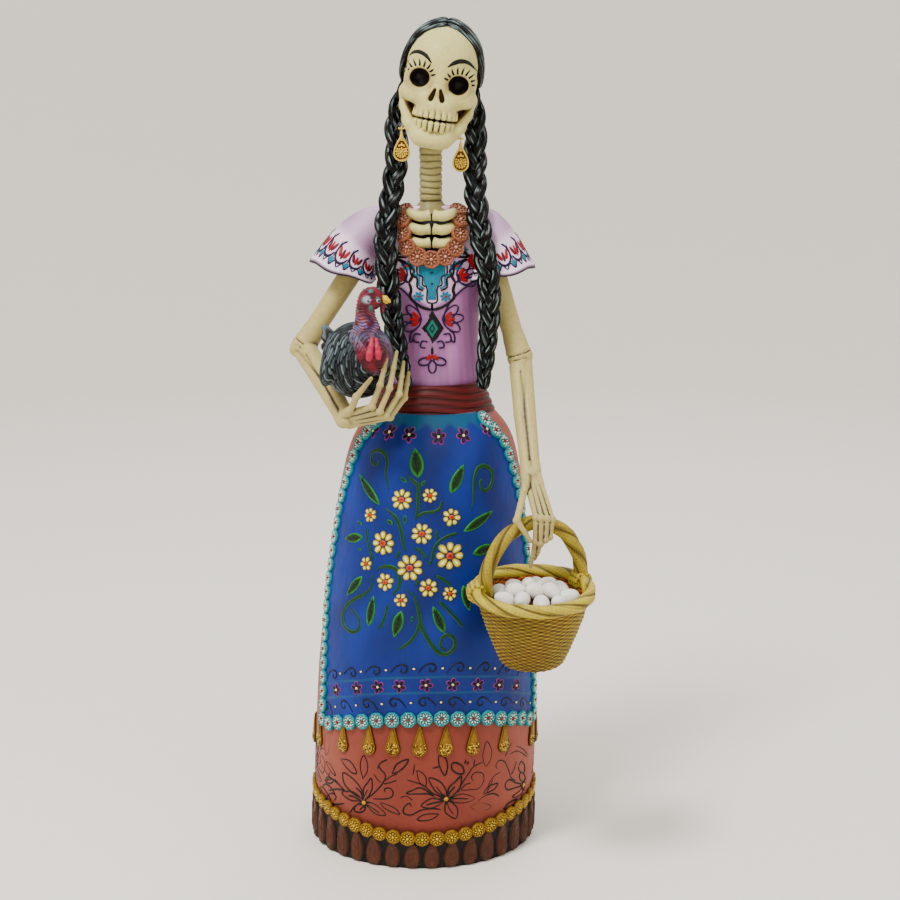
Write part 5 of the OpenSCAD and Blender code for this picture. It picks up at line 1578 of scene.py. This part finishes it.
# Lower jaw
clay.ball((0, -20.5, 7), (12.5, 12.3, 8), 4)
clay.ball((0, -27, 3.8), (9.5, 6, 4.2), 4)
for s in (-1, 1):
    clay.bone((s * 8.2, -24.6, 7), (s * 17.4, -9, 16), 7.2, 5.8, 4)
    clay.bone((s * 17, -9, 17), (s * 22.4, 0, 30), 5.2, 4.2, 3)
clay.ball((0, -6, 12), (13, 14, 9), 5)
for s in (-1, 1):
    clay.bone((s * 17.2, -19.5, 14), (s * 23.6, -10, 27), 4.3, 3.2, 3)
clay.bone((0, 0, 34), (0, -1.5, 16), 12, 11, 4)
uncut_front, _ = front_of(clay)
# Sockets, nose, cheek hollows, mouth and temples
EYES = {-1: (-15.2, 46.6), 1: (13.4, 45.2)}
for s in (-1, 1):
    x, z = EYES[s]
    clay.ball((x + 0.4 * s, -34, z - 0.3), (9.2, 5.5, 8.6), 2.5, True)
    clay.ball((x, -33, z), (8, 13.5, 7.3), 0.9, True)
    for f in np.linspace(0, 1, 6):
        x, z = s * (4.1 - 2.2 * f) - 0.8, 33.4 + 6.8 * f
        clay.bone((x, -42, z), (x, -28.4 + f, z), 2.3 - 1.2 * f, 1.5 - 0.8 * f, 1.2, True)
    for x, z, r in ((23.4, 29.6, 0.7), (21.4, 28.2, 1.4), (19.4, 26.8, 1.9), (17.8, 25.4, 1.9),
                    (19, 24.6, 1.5), (17.4, 22.8, 1.6), (16.6, 20.6, 1.1)):
        clay.bone((s * x, -42, z), (s * x * 0.95, -19.5, z), r * 1.12, r * 0.9, 0.8, True)
    clay.ball((s * 29.5, -10, 51), (4.5, 10, 8), 4, True)
clay.ball((1, -31, 19.1), (17, 13, 1.5), 0.5, True)
_, on_face = front_of(clay)


def skull_tint(points, colour):
    x, y, z = points.T
    black = rgb("#050403")
    depth = np.where(y < -8, y - uncut_front(x, z), 0)
    for s in (-1, 1):
        near = np.hypot((x - EYES[s][0]) * 0.93, (z - EYES[s][1]) * 1.02)
        # Brown round each socket, into the hollow of the orbit: painted shade
        colour = blend(colour, rgb("#a08550"),
                       np.where(y < -18, np.clip(1 - (near - 6.5) / 5, 0, 1) * 0.5, 0))
        # The hollow under each cheekbone is a triangle, painted brown with a darker edge: partly the
        # figure's own brown, partly painted shade in the hollow
        inside = np.minimum.reduce([15.6 + 0.77 * (z - 18.4) - x * s, 28.2 + 0.33 * (x * s - 16.2) - z,
                                    x * s - 14.6])
        recess = np.clip((y + 28.5 - (x * s - 15) * 0.95) / 2, 0, 1) * (y < -4)
        colour = blend(colour, rgb("#9c7c44"), np.clip(inside / 0.8 + 0.3, 0, 1) * recess * 0.85)
        outline = np.exp(-((inside - 0.2) / 0.45) ** 2) * (x * s > 14.2) * (z > 18) * (z < 31)
        colour = blend(colour, rgb("#3a2410"), outline * recess * 0.7)
        # Brown in the nose holes: painted shade in the recess
        colour = blend(colour, rgb("#7c643a"),
                       (np.abs(x) < 8) * (z > 31) * (z < 42.5) * np.clip(depth - 0.5, 0, 1))
        colour = blend(colour, black,
                       np.clip((8.2 - near) / 0.5, 0, 1) * np.clip((depth - 1.9) / 0.6, 0, 1))
    in_mouth = (np.abs(x - 1) < 18) & (np.abs(z - 19.1) < 1.9)
    colour = blend(colour, black, in_mouth * np.clip(depth - 0.6, 0, 1))
    return blend(colour, rgb("#7d6433"), np.clip((y - 2) / 20, 0, 1) * 0.3)


clay_piece("skull_bone", clay, BONE, BONE_WASH_AND_SHADE, bone_mat, "figure", "bone_paint", "skull", "jaw",
           strength=0.8, tint=skull_tint, shift=in_head)

# Teeth: long rounded ridges with their roots showing
for name, low, high, sizes in (("upper", 19.8, 27.6, (1.0, 0.9)), ("lower", 10.4, 18.5, (0.95, 0.85))):
    clay = Clay((-20, -38, low - 3), (20, -8, high + 3), 0.45)
    angles = np.radians(np.linspace(-72, 72, 10))
    roots = []
    for k, b in enumerate(angles):
        x, y = 15.6 * math.sin(b), -13.6 - 20.6 * math.cos(b)
        inward = vec(-math.sin(b), math.cos(b), 0)
        lift = 0.35 * math.sin(3.1 * k + low)
        edge = vec(x, y, low + 1.6 + 0.2 * lift if name == "upper" else high - 1.6 + 0.2 * lift)
        root = vec(x, y, high - 1.6 + lift if name == "upper" else low + 1.6 + lift) + inward * 0.6
        side = vec(math.cos(b), math.sin(b), 0)
        wide = 0.75 if abs(b) > 0.9 else 0.95
        clay.bone(edge + side * wide * 0.75, root, 1.55 * sizes[1], 1.25, 0.4)
        clay.bone(edge - side * wide * 0.75, root, 1.55 * sizes[1], 1.25, 0.4)
        clay.bone(edge + inward * 1.2, root + inward * 1.2, 1.7, 1.5, 0.4)
        roots.append(edge + inward * 1.9)
    clay.line(roots, 1.3, 0.4)

    def tooth_tint(points, colour, low=low, high=high, name=name):
        gum = (points[:, 2] - low) / (high - low)
        gum = gum if name == "upper" else 1 - gum
        place = np.degrees(np.arctan2(points[:, 0] / 15.6, -(points[:, 1] + 13.6) / 20.6)) / 16
        part = place - np.floor(place)
        between = np.exp(-(part / 0.1) ** 2) + np.exp(-((part - 1) / 0.1) ** 2)
        colour = blend(colour, rgb("#5c3d14"), between * 0.85)
        return blend(colour, rgb("#9b7f45"), np.clip((gum - 0.55) / 0.5, 0, 1) * 0.3)

    clay_piece("teeth_" + name, clay, BONE * 1.04, rgb("#3c240a"), bone_mat, "figure", "tooth_paint",
               name + "_teeth", strength=3.6, tint=tooth_tint, shift=in_head)

# Brows and lashes
paint = Pile()
BROW = rgb("#1c211d")
stroke(paint, on_face, [(-24.3, 60.4), (-21.5, 63.2), (-17.5, 64), (-12.5, 62.2), (-8.0, 57.8)],
       (0.7, 2.4, 3.1, 3.1, 0.9), 0.35, BROW, 6)
stroke(paint, on_face, [(3.6, 56.8), (7.6, 60.2), (12.4, 62.2), (18, 61.6), (24.4, 57.0)],
       (0.9, 3.3, 3.6, 2.6, 0.6), 0.35, BROW, 6)
for s in (-1, 1):
    for k in range(9):
        b = math.radians(12 + 18.5 * k)
        c, d = math.cos(b) * s, math.sin(b)
        length = 5.0 if 1 < k < 7 else 4.2
        start = vec(EYES[s][0] + 8.8 * c, EYES[s][1] + 8.1 * d)
        middle = start + vec(c * length * 0.55 + 0.25 * s, d * length * 0.5)
        end = start + vec(c * length + 0.8 * s, d * length)
        stroke(paint, on_face, [start, middle, end], (1.7, 1.5, 0.3), 0.35, rgb("#1c150c"), 4)
make("brows_and_lashes", paint, finish("hair_ink", None, rough=0.55, vary=0.1, vary_per_mm=0.2, bump=0.2,
                                       bump_per_mm=1, fine=0.2), "figure", "hair_paint")

# Hair combed from the centre parting to where each braid starts
HAIR, HAIR_LIGHT = rgb("#080c0c"), rgb("#a4b4b2")
hair_mat = finish("hair_paint", None, rough=0.3, gloss=0.14, vary=0.12, vary_per_mm=0.08, bump=0.15,
                  bump_per_mm=0.6, fine=0.08)
HAIR_SIZE, HAIR_AT = vec(29.5, 37, 35.4), vec(0, 5.5, 54.5)
hair = Pile()
for side, gather, line in (
        (1, (0.86, 0.42, -0.28),
         [(-1.5, -12.9, 85.2), (5, -15.5, 82.6), (13, -17.8, 76.6), (22.3, -13.5, 67.5),
          (26.4, -9, 58.3), (28.2, 3.5, 47), (26, 15, 45)]),
        (-1, (0.86, 0.36, -0.42), [(1.5, -12.9, 85.2), (5, -14.5, 83), (12, -15, 79.3), (20, -12, 73.8),
                                   (25.2, -8.6, 65.8), (27.8, -3, 54), (26, 14, 42)])):
    s = np.linspace(0, 1, 150)[:, None]
    t = np.linspace(0, 0.985, 70)[None, :]
    round_head = np.radians(60 + 166 * s)
    parting = np.stack([0 * s - 0.03 * side + 0.002, -np.cos(round_head), np.sin(round_head)], -1)
    g = unit(vec(*gather))
    edge = curve(line, 12)
    edge = unit((edge - HAIR_AT) / HAIR_SIZE)
    edge = np.column_stack([np.interp(t[0], np.linspace(0, 1, len(edge)), edge[:, c]) for c in range(3)])
    edge[-8:] = edge[-8:] + (g - edge[-8:]) * np.linspace(0.1, 1, 8)[:, None]
    plain = parting * (1 - t[..., None]) + g * t[..., None] + vec(0.5, 0, 0) * (t * (1 - t))[..., None]
    plain = unit(plain)
    first = plain[:1]
    q = unit(plain + (edge[None] - first) * ((1 - s) ** 2.2)[..., None])
    strands = 0.5 + 0.5 * np.cos(2 * np.pi
                                 * (s * 25 + 0.35 * np.sin(t * 4 + s * 9) + 0.2 * np.sin(t * 11 + s * 40)))
    strands = strands ** 0.7 + 0.35 * np.cos(2 * np.pi * (s * 78 + 0.4 * np.sin(t * 6 + 3 * s)))
    room = np.clip(1.15 - t, 0, 1) ** 0.5
    lift = (1.2 * strands * room - 0.3 - 0.9 * np.exp(-t / 0.03) + 2.4 * t ** 6
            - 1.3 * np.exp(-s / 0.025))[..., None]
    outer = q * HAIR_SIZE + HAIR_AT + q * lift
    inner = q * (HAIR_SIZE - 3.2) + HAIR_AT
    if side > 0:
        outer, inner = outer[:, ::-1], inner[:, ::-1]
        strands = strands[:, ::-1]
    for a in (outer, inner):
        a[..., 0] *= side
    points, faces = skin(outer, inner)
    dash = np.sin(9 * t + 37 * s) * np.sin(17 * t - 61 * s + 1)
    dash = dash[:, ::-1] if side > 0 else dash
    shine = np.clip((strands - 0.85) * 2.4, 0, 1) * np.clip(0.55 + 1.3 * dash, 0, 1)
    tint = blend(HAIR, HAIR_LIGHT, 0.85 * shine).reshape(-1, 3)
    hair.add(in_head(points), faces, np.concatenate([tint, tint]))
make("combed_hair", hair, hair_mat, "figure", "hair_paint", "hair_cap")

BRAIDS = {
    "left": [(37, 15, 562), (39, 8.5, 538), (39, -0.5, 512), (39, -14.5, 488), (42.5, -29, 459),
             (48, -35, 430), (49, -37, 400), (46.5, -38, 372), (44, -38, 348)],
    "right": [(-11, 14, 564), (-15.6, 9, 549), (-17.8, 3, 534), (-17.5, -4, 511), (-21, -17, 486),
              (-25, -31, 461), (-24, -38, 431), (-20, -40, 399), (-15, -39, 371), (-10.5, -37, 347)],
}
# How far each strand swings sideways and in depth, and its thickness
SWING, SWAY, STRAND_R = 5.0, 2.3, 4.0
for name, line in BRAIDS.items():
    path = curve(line, 40)
    run = run_along(path)
    u = np.linspace(0, run[-1], 330)
    path = np.column_stack([np.interp(u, run, path[:, c]) for c in range(3)])
    along, across, depth = frames(path, (0, 1, 0))
    w = u / u[-1]
    taper = np.interp(w, [0, 0.05, 0.13, 0.7, 0.93, 1], [0.4, 0.72, 1, 0.97, 0.72, 0.5])
    beat = 2 * np.pi * u / (58 - 8 * w) + (0.4 if name == "left" else 1.7)
    plait = Pile()
    for j in range(3):
        phase = beat + j * 2 * np.pi / 3
        centre = (path + across * (SWING * taper * np.sin(phase))[:, None]
                  + depth * (SWAY * taper * np.sin(2 * phase))[:, None])
        rivals = [path + across * (SWING * taper * np.sin(phase + k * 2 * np.pi / 3))[:, None]
                  + depth * (SWAY * taper * np.sin(2 * phase + k * 4 * np.pi / 3))[:, None] for k in (1, 2)]
        d, a_dir, b_dir = frames(centre, (0, 1, 0))
        angle = np.linspace(0, 2 * np.pi, 40, False)[None]
        fat = taper * (1 + 0.1 * np.cos(2 * phase))
        comb = np.cos(6 * angle + 0.7 * np.sin(u / 7)[:, None] + 0.5 * np.sin(3 * angle))
        comb = comb + 0.35 * np.cos(15 * angle + u[:, None] / 9)
        end = np.sqrt(np.clip(1 - np.clip(1 - (u[-1] - u) / 3.5, 0, 1) ** 2, 0.03, 1))
        r = ((STRAND_R * fat)[:, None] + 0.34 * comb) * end[:, None]
        rings = (centre[:, None] + a_dir[:, None] * (r * np.cos(angle))[..., None]
                 + b_dir[:, None] * (0.82 * r * np.sin(angle))[..., None])
        points, faces = lofted(rings)
        near = np.min([np.linalg.norm(rings - rival[:, None], axis=-1) for rival in rivals],
                      axis=0) / (STRAND_R * taper)[:, None]
        open_side = np.clip((near - 1.05) / 0.45, 0, 1)
        dash = 0.5 + 0.5 * np.sin(0.6 * u[:, None] + 4 * angle + 1.3 * np.sin(0.23 * u[:, None] + 2 * j))
        shine = np.clip(1.7 * (comb - 0.6), 0, 1) * np.clip(2.2 * dash - 0.7, 0, 1) * open_side ** 1.5
        tint = blend(HAIR * 0.5, HAIR_LIGHT, 0.9 * shine)
        plait.add(points, faces, np.concatenate([tint.reshape(-1, 3), [HAIR, HAIR]]))
    make("braid_" + name + "_plait", plait, hair_mat, "figure", "hair_paint", "braid_" + name)

gold_ear = finish("earring_gold", None, rough=0.34, metal=0.5, vary=0.15, vary_per_mm=0.3, bump=0.35,
                  bump_per_mm=1.4, fine=0.25, grime="#4a3008", grime_amount=0.35)
GOLD_EAR, GOLD_DEEP = rgb("#ead47a"), rgb("#86621c")
for name, side, at in (("left", 1, vec(28.4, -17, 525)), ("right", -1, vec(-13.6, -17, 532.4))):
    pin = Pile()
    path = curve([(-side * 2.5, 0, 8), (-side * 2.5, 0, 3), (-side * 2.3, 0, 0.5), (-side * 1.4, 0, 0),
                  (side * 0.5, 0, 0), (side * 1.5, 0, 0)], 8)
    points, faces = tube(path + at, 0.58, 12, 1, (0, 1, 0), blunt=0.5)
    pin.add(points, faces, GOLD_EAR)
    bead(pin, at + vec(side * 1.6, 0, 0), 0.85, GOLD_EAR, 14, 9)
    make("earring_hook_" + name, pin, gold_ear, "figure", "earring_gold", "earring_pin_" + name)
    drop = Pile()
    a = np.linspace(0, 2 * np.pi, 28, False)
    ring = np.column_stack([0 * a, 1.25 * np.cos(a), 1.25 * np.sin(a)]) + at
    b = np.linspace(0, 2 * np.pi, 10, False)
    out = unit(ring - at)
    rings = ring[:, None] + 0.5 * (np.cos(b)[None, :, None] * out[:, None]
                                   + np.sin(b)[None, :, None] * vec(1, 0, 0))
    drop.add(rings.reshape(-1, 3), [grid(*rings.shape[:2], True, True)], GOLD_EAR)
    stem = curve([(0, 0, -1.5), (0, 0, -4), (0, -0.1, -6.4), (0, -0.1, -9)], 6) + at
    points, faces = tube(stem, np.linspace(0.65, 1.9, len(stem)), 14, 0.75, (0, 1, 0), blunt=0.4)
    drop.add(points, faces, GOLD_EAR)
    t = np.linspace(0, 2 * np.pi, 64, False)
    wide = 7.8 * np.sin(t) * np.sin((np.pi - np.abs(t - np.pi)) / 2) ** 1.15
    tall = -13.8 + 9.6 * np.cos(t)

    def at_drop(x, z, out, at=at):
        x, z, out = same_shape(x, z, out)
        return np.stack([x, -out - 0.1, z], -1) + at

    outline = np.column_stack([wide, tall])[::-1]
    middle = vec(0, -16.6)
    for face in (1, -1):
        rings, colours = [], []
        for size, up, colour in ((1, 0, GOLD_EAR), (1.01, 0.7, GOLD_EAR), (0.97, 1.25, GOLD_EAR),
                                 (0.88, 1.45, GOLD_EAR), (0.8, 1.2, GOLD_DEEP), (0.74, 0.75, GOLD_DEEP),
                                 (0.4, 0.9, GOLD_DEEP), (0.1, 1.0, GOLD_DEEP)):
            flat = middle + (outline - middle) * size
            rings.append(at_drop(flat[:, 0], flat[:, 1], face * up))
            colours.append(np.tile(colour, (len(flat), 1)))
        rings[0] = at_drop(outline[:, 0], outline[:, 1], face * -0.3)
        rings = np.stack(rings)
        points, faces = lofted(rings if face > 0 else rings[:, ::-1])
        drop.add(points, faces, np.concatenate(colours + [[GOLD_EAR], [GOLD_DEEP]]))
        for k in range(13):
            b = 2 * np.pi * k / 13
            p = middle + vec(3.7 * math.sin(b), 3.7 * math.cos(b) + (1.2 if math.cos(b) > 0.8 else 0))
            bead(drop, at_drop(p[0], p[1], face * 1.0), 0.82, GOLD_EAR, 8, 6)
        for reach, count, start in ((1.3, 5, 0.3), (2.5, 9, 0.0)):
            for k in range(count):
                b = 2 * np.pi * k / count + start
                p = middle + vec(reach * math.sin(b), reach * math.cos(b))
                bead(drop, at_drop(p[0], p[1], face * 1.05), 0.72, GOLD_EAR, 8, 6)
        for x, z in ((0, -10.6), (-0.9, -11.8), (0.9, -11.8)):
            bead(drop, at_drop(x, z, face * 1.0), 0.65, GOLD_EAR, 8, 6)
        bead(drop, at_drop(middle[0], middle[1], face * 1.2), 0.85, GOLD_EAR, 8, 6)
    make("earring_drop_" + name, drop, gold_ear, "earring_" + name + "_drop", "earring_gold",
         "earring_" + name)


# ---------- turkey ----------

TURKEY_AT, BIRD_R = vec(-43.5, -68, 374), 27
FEATHER, FEATHER_LIGHT = rgb("#0a0d0f"), rgb("#a4b2b8")
feather_mat = finish("turkey_feathers", None, rough=0.42, gloss=0.14, vary=0.15, vary_per_mm=0.08, bump=0.3,
                     bump_per_mm=1, fine=0.3)
skin_mat = finish("turkey_red", None, rough=0.42, vary=0.12, vary_per_mm=0.15, bump=0.3, bump_per_mm=1.4,
                  fine=0.25, coat=0.1)


def hashed(a, b=0.0):
    """A number from 0 to 1 that looks random but is always the same for the same input."""
    v = np.sin(a * 12.9898 + b * 78.233) * 43758.5453
    return v - np.floor(v)


def feathers(points, pole, row_mm=2.1, dash_mm=11.0):
    """Height of short dashes that circle a pole direction, from 0 to 1, and a value for each dash."""
    d = unit(points - TURKEY_AT)
    pole = unit(vec(*pole))
    u = unit(np.cross(pole, (0, 0, 1)))
    v = np.cross(u, pole)
    theta = np.arccos(np.clip(d @ pole, -1, 1))
    azimuth = np.arctan2(d @ v, d @ u)
    q = theta * BIRD_R / row_mm + 0.5 * np.sin(3 * azimuth + 1) + 0.25 * np.sin(7 * azimuth + theta * 5)
    row = np.floor(q)
    part = q - row
    count = np.maximum(3, np.floor(2 * np.pi * BIRD_R * np.sin(theta) / dash_mm))
    s = (azimuth / (2 * np.pi) + hashed(row)) * count
    cell, inside = np.floor(s), s - np.floor(s)
    along = np.clip(np.minimum(inside, 1 - inside) / 0.16, 0, 1)
    slope = 0.35 * (inside - 0.5)
    height = np.clip(1 - (2.2 * (part - 0.5 + slope)) ** 2, 0, 1) ** 0.6 * np.sqrt(along)
    return height, hashed(cell, row)


clay = Clay((-84, -108, 336), (-10, -30, 412), 0.62)
clay.ball(TURKEY_AT, (25.2, 26.8, 26.7), 1)
clay.ball(TURKEY_AT + (-18.5, -2, -1), (6.8, 20, 17.5), 1.6, roll=(1, 18))
clay.ball(TURKEY_AT + (15.5, 10, 0), (7, 19.5, 17.5), 1.6, roll=(1, -18))
for k, (dy, dz) in enumerate(((-6, -6), (-2, 0), (2, 6))):
    clay.bone(TURKEY_AT + (-15, 13, 7), TURKEY_AT + (-24.5, 22 + dy, 13 + dz), 6.5, 2.6, 1.2)
points, quads = clay.mesh()
hollow, normal = hollowness(points, quads, 6)
height, value = feathers(points, (0.42, -0.86, 0.1))
points = points + normal * (0.95 * height - 0.45)[:, None]
# Grey on the raised feather dashes: partly the bird's painted strokes, partly painted highlight
tint = blend(FEATHER, FEATHER_LIGHT, np.clip(height - 0.5, 0, 1) * (0.15 + 1.3 * value ** 2))
# Darker in the hollows: painted shade
tint = blend(tint, FEATHER, np.clip(hollow * 2.5, 0, 0.8))
make_one("turkey_feathered_body", points, [quads], tint, feather_mat, "figure", "turkey_feathers",
         "turkey_body", "turkey_wings", "turkey_tail")

RED, CRIMSON, BLUE, PALE = rgb("#5c0c2a"), rgb("#a0224c"), rgb("#34509c"), rgb("#c4c4d4")
clay = Clay((-54, -108, 360), (-14, -64, 430), 0.5)
path = curve([TURKEY_AT + p
              for p in ((6, -9, 6), (7, -13, 14), (8.5, -19.5, 24), (7.6, -21.5, 33), (8, -22, 41),
                        (11.5, -22.8, 46.5), (15, -23.4, 45.2))], 4) + [-1.6, 0, 0]
clay.line(path, np.interp(np.linspace(0, 1, len(path)), [0, 0.2, 0.36, 0.5, 0.66, 0.82, 0.93, 1],
                          [12, 11.6, 8.6, 6.5, 6.0, 7.6, 6.8, 4.4]), 1.2)
clay.ball(TURKEY_AT + (9.5, -15.5, 7), (14.2, 13.6, 16.5), 3)
clay.bone(TURKEY_AT + (18.5, -23.6, 42.5), TURKEY_AT + (17.6, -24.5, 37), 1.7, 1.2, 1.2)
clay.ball(TURKEY_AT + (10, -29.5, 49.5), (1.6, 1.4, 1.6), 0.8)
points, quads = clay.mesh()
hollow, normal = hollowness(points, quads, 5)
q = points - TURKEY_AT
upper = np.clip((q[:, 2] - 20) / 6, 0, 1)
turns = np.where(q[:, 2] > 20, q[:, 2] * 0.5 + 0.12 * q[:, 0], 0)
wrinkle = np.sin(2 * np.pi * (turns + 0.45 * np.sin(q[:, 0] * 0.55 + q[:, 2] * 0.21))) * 0.35 * upper
height, value = feathers(points, (0.42, -0.86, 0.1), 2.0, 7)
wrinkle = wrinkle + (1 - upper) * (0.9 * height - 0.3) * np.clip((22 - q[:, 2]) / 8 + 0.2, 0, 1)
points = points + normal * wrinkle[:, None]
mix_a = 0.5 + 0.5 * np.sin(q[:, 0] * 0.55 + 1.7 * np.sin(q[:, 2] * 0.33 + 1) + q[:, 1] * 0.2)
mix_b = 0.5 + 0.5 * np.sin(q[:, 2] * 0.9 + 2 * np.sin(q[:, 0] * 0.6 + 2) + 2)
tint = blend(RED, CRIMSON, mix_a * 0.7 + 0.2 * value)
throat = np.exp(-((q[:, 2] - 25) / 9) ** 2)
tint = blend(tint, BLUE, throat * (mix_b > 0.35) * 0.75 * (0.4 + 0.6 * mix_a))
speckle = np.clip(mix_a * 2 - 0.6 + 0.5 * np.sin(q[:, 0] * 1.7 + q[:, 2]), 0, 1)
tint = blend(tint, PALE, throat * np.clip(wrinkle * 2.4, 0, 1) * speckle * 0.7)
face = np.clip((q[:, 2] - 36) / 4, 0, 1)
patches = np.sin(q[:, 0] * 0.62 + 1.6) * np.sin(q[:, 2] * 0.52 + q[:, 1] * 0.45) - 0.42
tint = blend(tint, rgb("#3f9c94"), face * np.clip(patches * 3, 0, 1) * 0.85)
tint = blend(tint, PALE, np.exp(-(np.hypot(q[:, 0] - 7.4, q[:, 2] - 46.2) / 2.7) ** 4) * 0.85)
edge_zone = np.clip((np.hypot(q[:, 0] - 9.5, q[:, 2] - 7) - 9.5) / 5, 0, 1) * (1 - upper)
tint = blend(tint, rgb("#3d4f84"), edge_zone * 0.45)
tint = blend(tint, FEATHER_LIGHT, edge_zone * height * 0.3)
# Dark in the hollows and between the raised breast feathers: painted shade
tint = blend(tint, rgb("#200814"), np.clip(hollow * 2.2 + 0.05 - wrinkle * 0.8 * (1 - upper), 0, 0.85))
make_one("turkey_neck_and_breast", points, [quads], tint, skin_mat, "figure", "turkey_red", "turkey_neck",
         "turkey_breast")

wattle = Clay(TURKEY_AT + (2, -38, 0), TURKEY_AT + (22, -22, 24), 0.4)
wattle.line(TURKEY_AT + vec([10.6, -28.0, 19], [10.2, -30.0, 14], [9.2, -31.2, 9], [8.6, -31.0, 6]),
            (1.4, 2.1, 2.7, 2.3), 0.8)
wattle.line(TURKEY_AT + vec([13.6, -27.6, 18.5], [14.2, -29.4, 13], [14.9, -30.2, 9], [15, -30.0, 6.5]),
            (1.3, 2.0, 2.5, 2.1), 0.8)
wattle.line(TURKEY_AT + vec([11.8, -31.5, 14], [11.9, -33.5, 10]), 0.3, 0.3, True)
clay_piece("turkey_caruncles", wattle, rgb("#c04468"), rgb("#3a0612"), skin_mat, "figure", "turkey_red",
           "turkey_wattle", strength=2.5)

beak = Clay(TURKEY_AT + (13, -29, 39), TURKEY_AT + (27, -19, 52), 0.35)
beak.line(TURKEY_AT + vec([16.8, -23.6, 46.6], [20, -23.9, 46.2], [22.4, -24, 44.6], [22.9, -24, 43.6]),
          (2.6, 2.0, 1.2, 0.5), 0.6)
beak.bone(TURKEY_AT + (16.8, -23.6, 44.8), TURKEY_AT + (21, -24, 43.4), 2.0, 0.8, 0.5)
beak.line(TURKEY_AT + vec([19, -27, 44.9], [19, -21, 44.9]), 0.25, 0.2, True)
beak_mat = finish("beak_paint", None, rough=0.35, coat=0.2, vary=0.08, vary_per_mm=0.3, bump=0.2,
                  bump_per_mm=1, fine=0.2)
clay_piece("turkey_beak_tip", beak, rgb("#dcc41e"), rgb("#6e4a08"), beak_mat, "figure", "beak_paint",
           "turkey_beak", strength=2)
eyes = Pile()
for at, r, tint in (((8.2, -29.1, 45.4), 1.5, PALE), ((8.4, -30.1, 45.5), 0.95, rgb("#060606")),
                    ((15.2, -30.0, 45.6), 1.3, PALE * 0.8), ((15.6, -30.8, 45.6), 0.9, rgb("#060606"))):
    bead(eyes, TURKEY_AT + at, r, tint, 16, 11)
make("turkey_eyes", eyes, finish("eye_gloss", None, rough=0.15, coat=0.6, vary=0.05, bump=0.05, fine=0.05),
     "figure", "turkey_red")


# ---------- carried-over CAD parts, floor, lights and camera ----------

wood = finish("raw_wood", "#c79a66", rough=0.75, vary=0.2, vary_per_mm=0.15, streak=(0.15, 3, 3), bump=0.4,
              bump_per_mm=1.2, fine=0.4, grime="#6b4526", grime_amount=0.5)
wire = finish("iron_wire", "#4a4845", rough=0.55, metal=0.8, vary=0.25, vary_per_mm=0.3, bump=0.3,
              grime="#5a2f1a", grime_amount=0.6)
CAD_LOOKS = {"base_board": wood, "centre_post": wood, "arm_wire": wire, "neck_wire": wire}
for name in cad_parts:
    if name in CAD_LOOKS:
        for slot in bpy.data.objects[name].material_slots:
            slot.material = CAD_LOOKS[name]

floor_mat = bpy.data.materials.new("pale_floor")
floor_mat.use_nodes = True
tree = floor_mat.node_tree
tree.nodes["Principled BSDF"].inputs["Base Color"].default_value = (0.82, 0.775, 0.70, 1)
tree.nodes["Principled BSDF"].inputs["Roughness"].default_value = 0.9
# The floor curves up into a round wall, so there is no edge behind the figure from any side
FLAT_R, WALL_R, WALL_H = 2.1, 3.3, 2.6
bend = np.radians(np.linspace(0, 90, 16))
bend_r = WALL_R - FLAT_R
curved = [(FLAT_R + bend_r * math.sin(b), bend_r * (1 - math.cos(b))) for b in bend]
profile = [(0.02, 0), (1.0, 0)] + curved + [(WALL_R, WALL_H)]
t = np.linspace(0, 2 * np.pi, 96, False)
points = np.array([[(r * math.cos(a), r * math.sin(a), z) for a in t] for r, z in profile]).reshape(-1, 3)
mesh = bpy.data.meshes.new("floor")
mesh.from_pydata(points.tolist(), [], grid(len(profile), len(t), False, True).tolist() + [list(range(96))])
mesh.materials.append(floor_mat)
mesh.polygons.foreach_set("use_smooth", [True] * len(mesh.polygons))
floor = bpy.data.objects.new("floor", mesh)
bpy.context.scene.collection.objects.link(floor)
floor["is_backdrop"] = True

world = bpy.data.worlds.new("studio")
world.use_nodes = True
world.node_tree.nodes["Background"].inputs[0].default_value = (0.86, 0.87, 0.89, 1)
world.node_tree.nodes["Background"].inputs[1].default_value = 1.5
bpy.context.scene.world = world


def facing(place, aim):
    """Rotation of a lamp or camera that stands at one point and looks at another."""
    return (Vector(aim) - Vector(place)).to_track_quat("-Z", "Y").to_euler()


def softbox(name, place, aim, size, power, colour):
    """A round area light."""
    light = bpy.data.lights.new(name, "AREA")
    light.shape = "DISK"
    light.size = size
    light.energy = power
    light.color = colour
    lamp = bpy.data.objects.new(name, light)
    lamp.location = place
    lamp.rotation_euler = facing(place, aim)
    bpy.context.scene.collection.objects.link(lamp)


softbox("key", (-0.75, -1.05, 2.15), (0, 0, 0.3), 0.6, 62, (1.0, 0.985, 0.96))
softbox("fill", (1.3, -1.2, 1.5), (0, 0, 0.3), 1.0, 6, (0.95, 0.97, 1.0))
softbox("rim", (0.4, 1.4, 1.7), (0, 0, 0.35), 1.0, 10, (1.0, 1.0, 1.0))

CAMERA_AT, CAMERA_AIM = (0.0208, -1.5, 0.600), (0.0208, 0, 0.2956)
LENS_MM, SENSOR_MM = 82.52, 36
camera_data = bpy.data.cameras.new("camera")
camera_data.lens, camera_data.sensor_width = LENS_MM, SENSOR_MM
camera = bpy.data.objects.new("camera", camera_data)
camera.location = CAMERA_AT
camera.rotation_euler = facing(CAMERA_AT, CAMERA_AIM)
bpy.context.scene.collection.objects.link(camera)
bpy.context.scene.camera = camera

boxes = {"cad": CAD_BOX, "visual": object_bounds()}
{key: [[float(v) for v in corner] for corner in box] for key, box in boxes.items()}
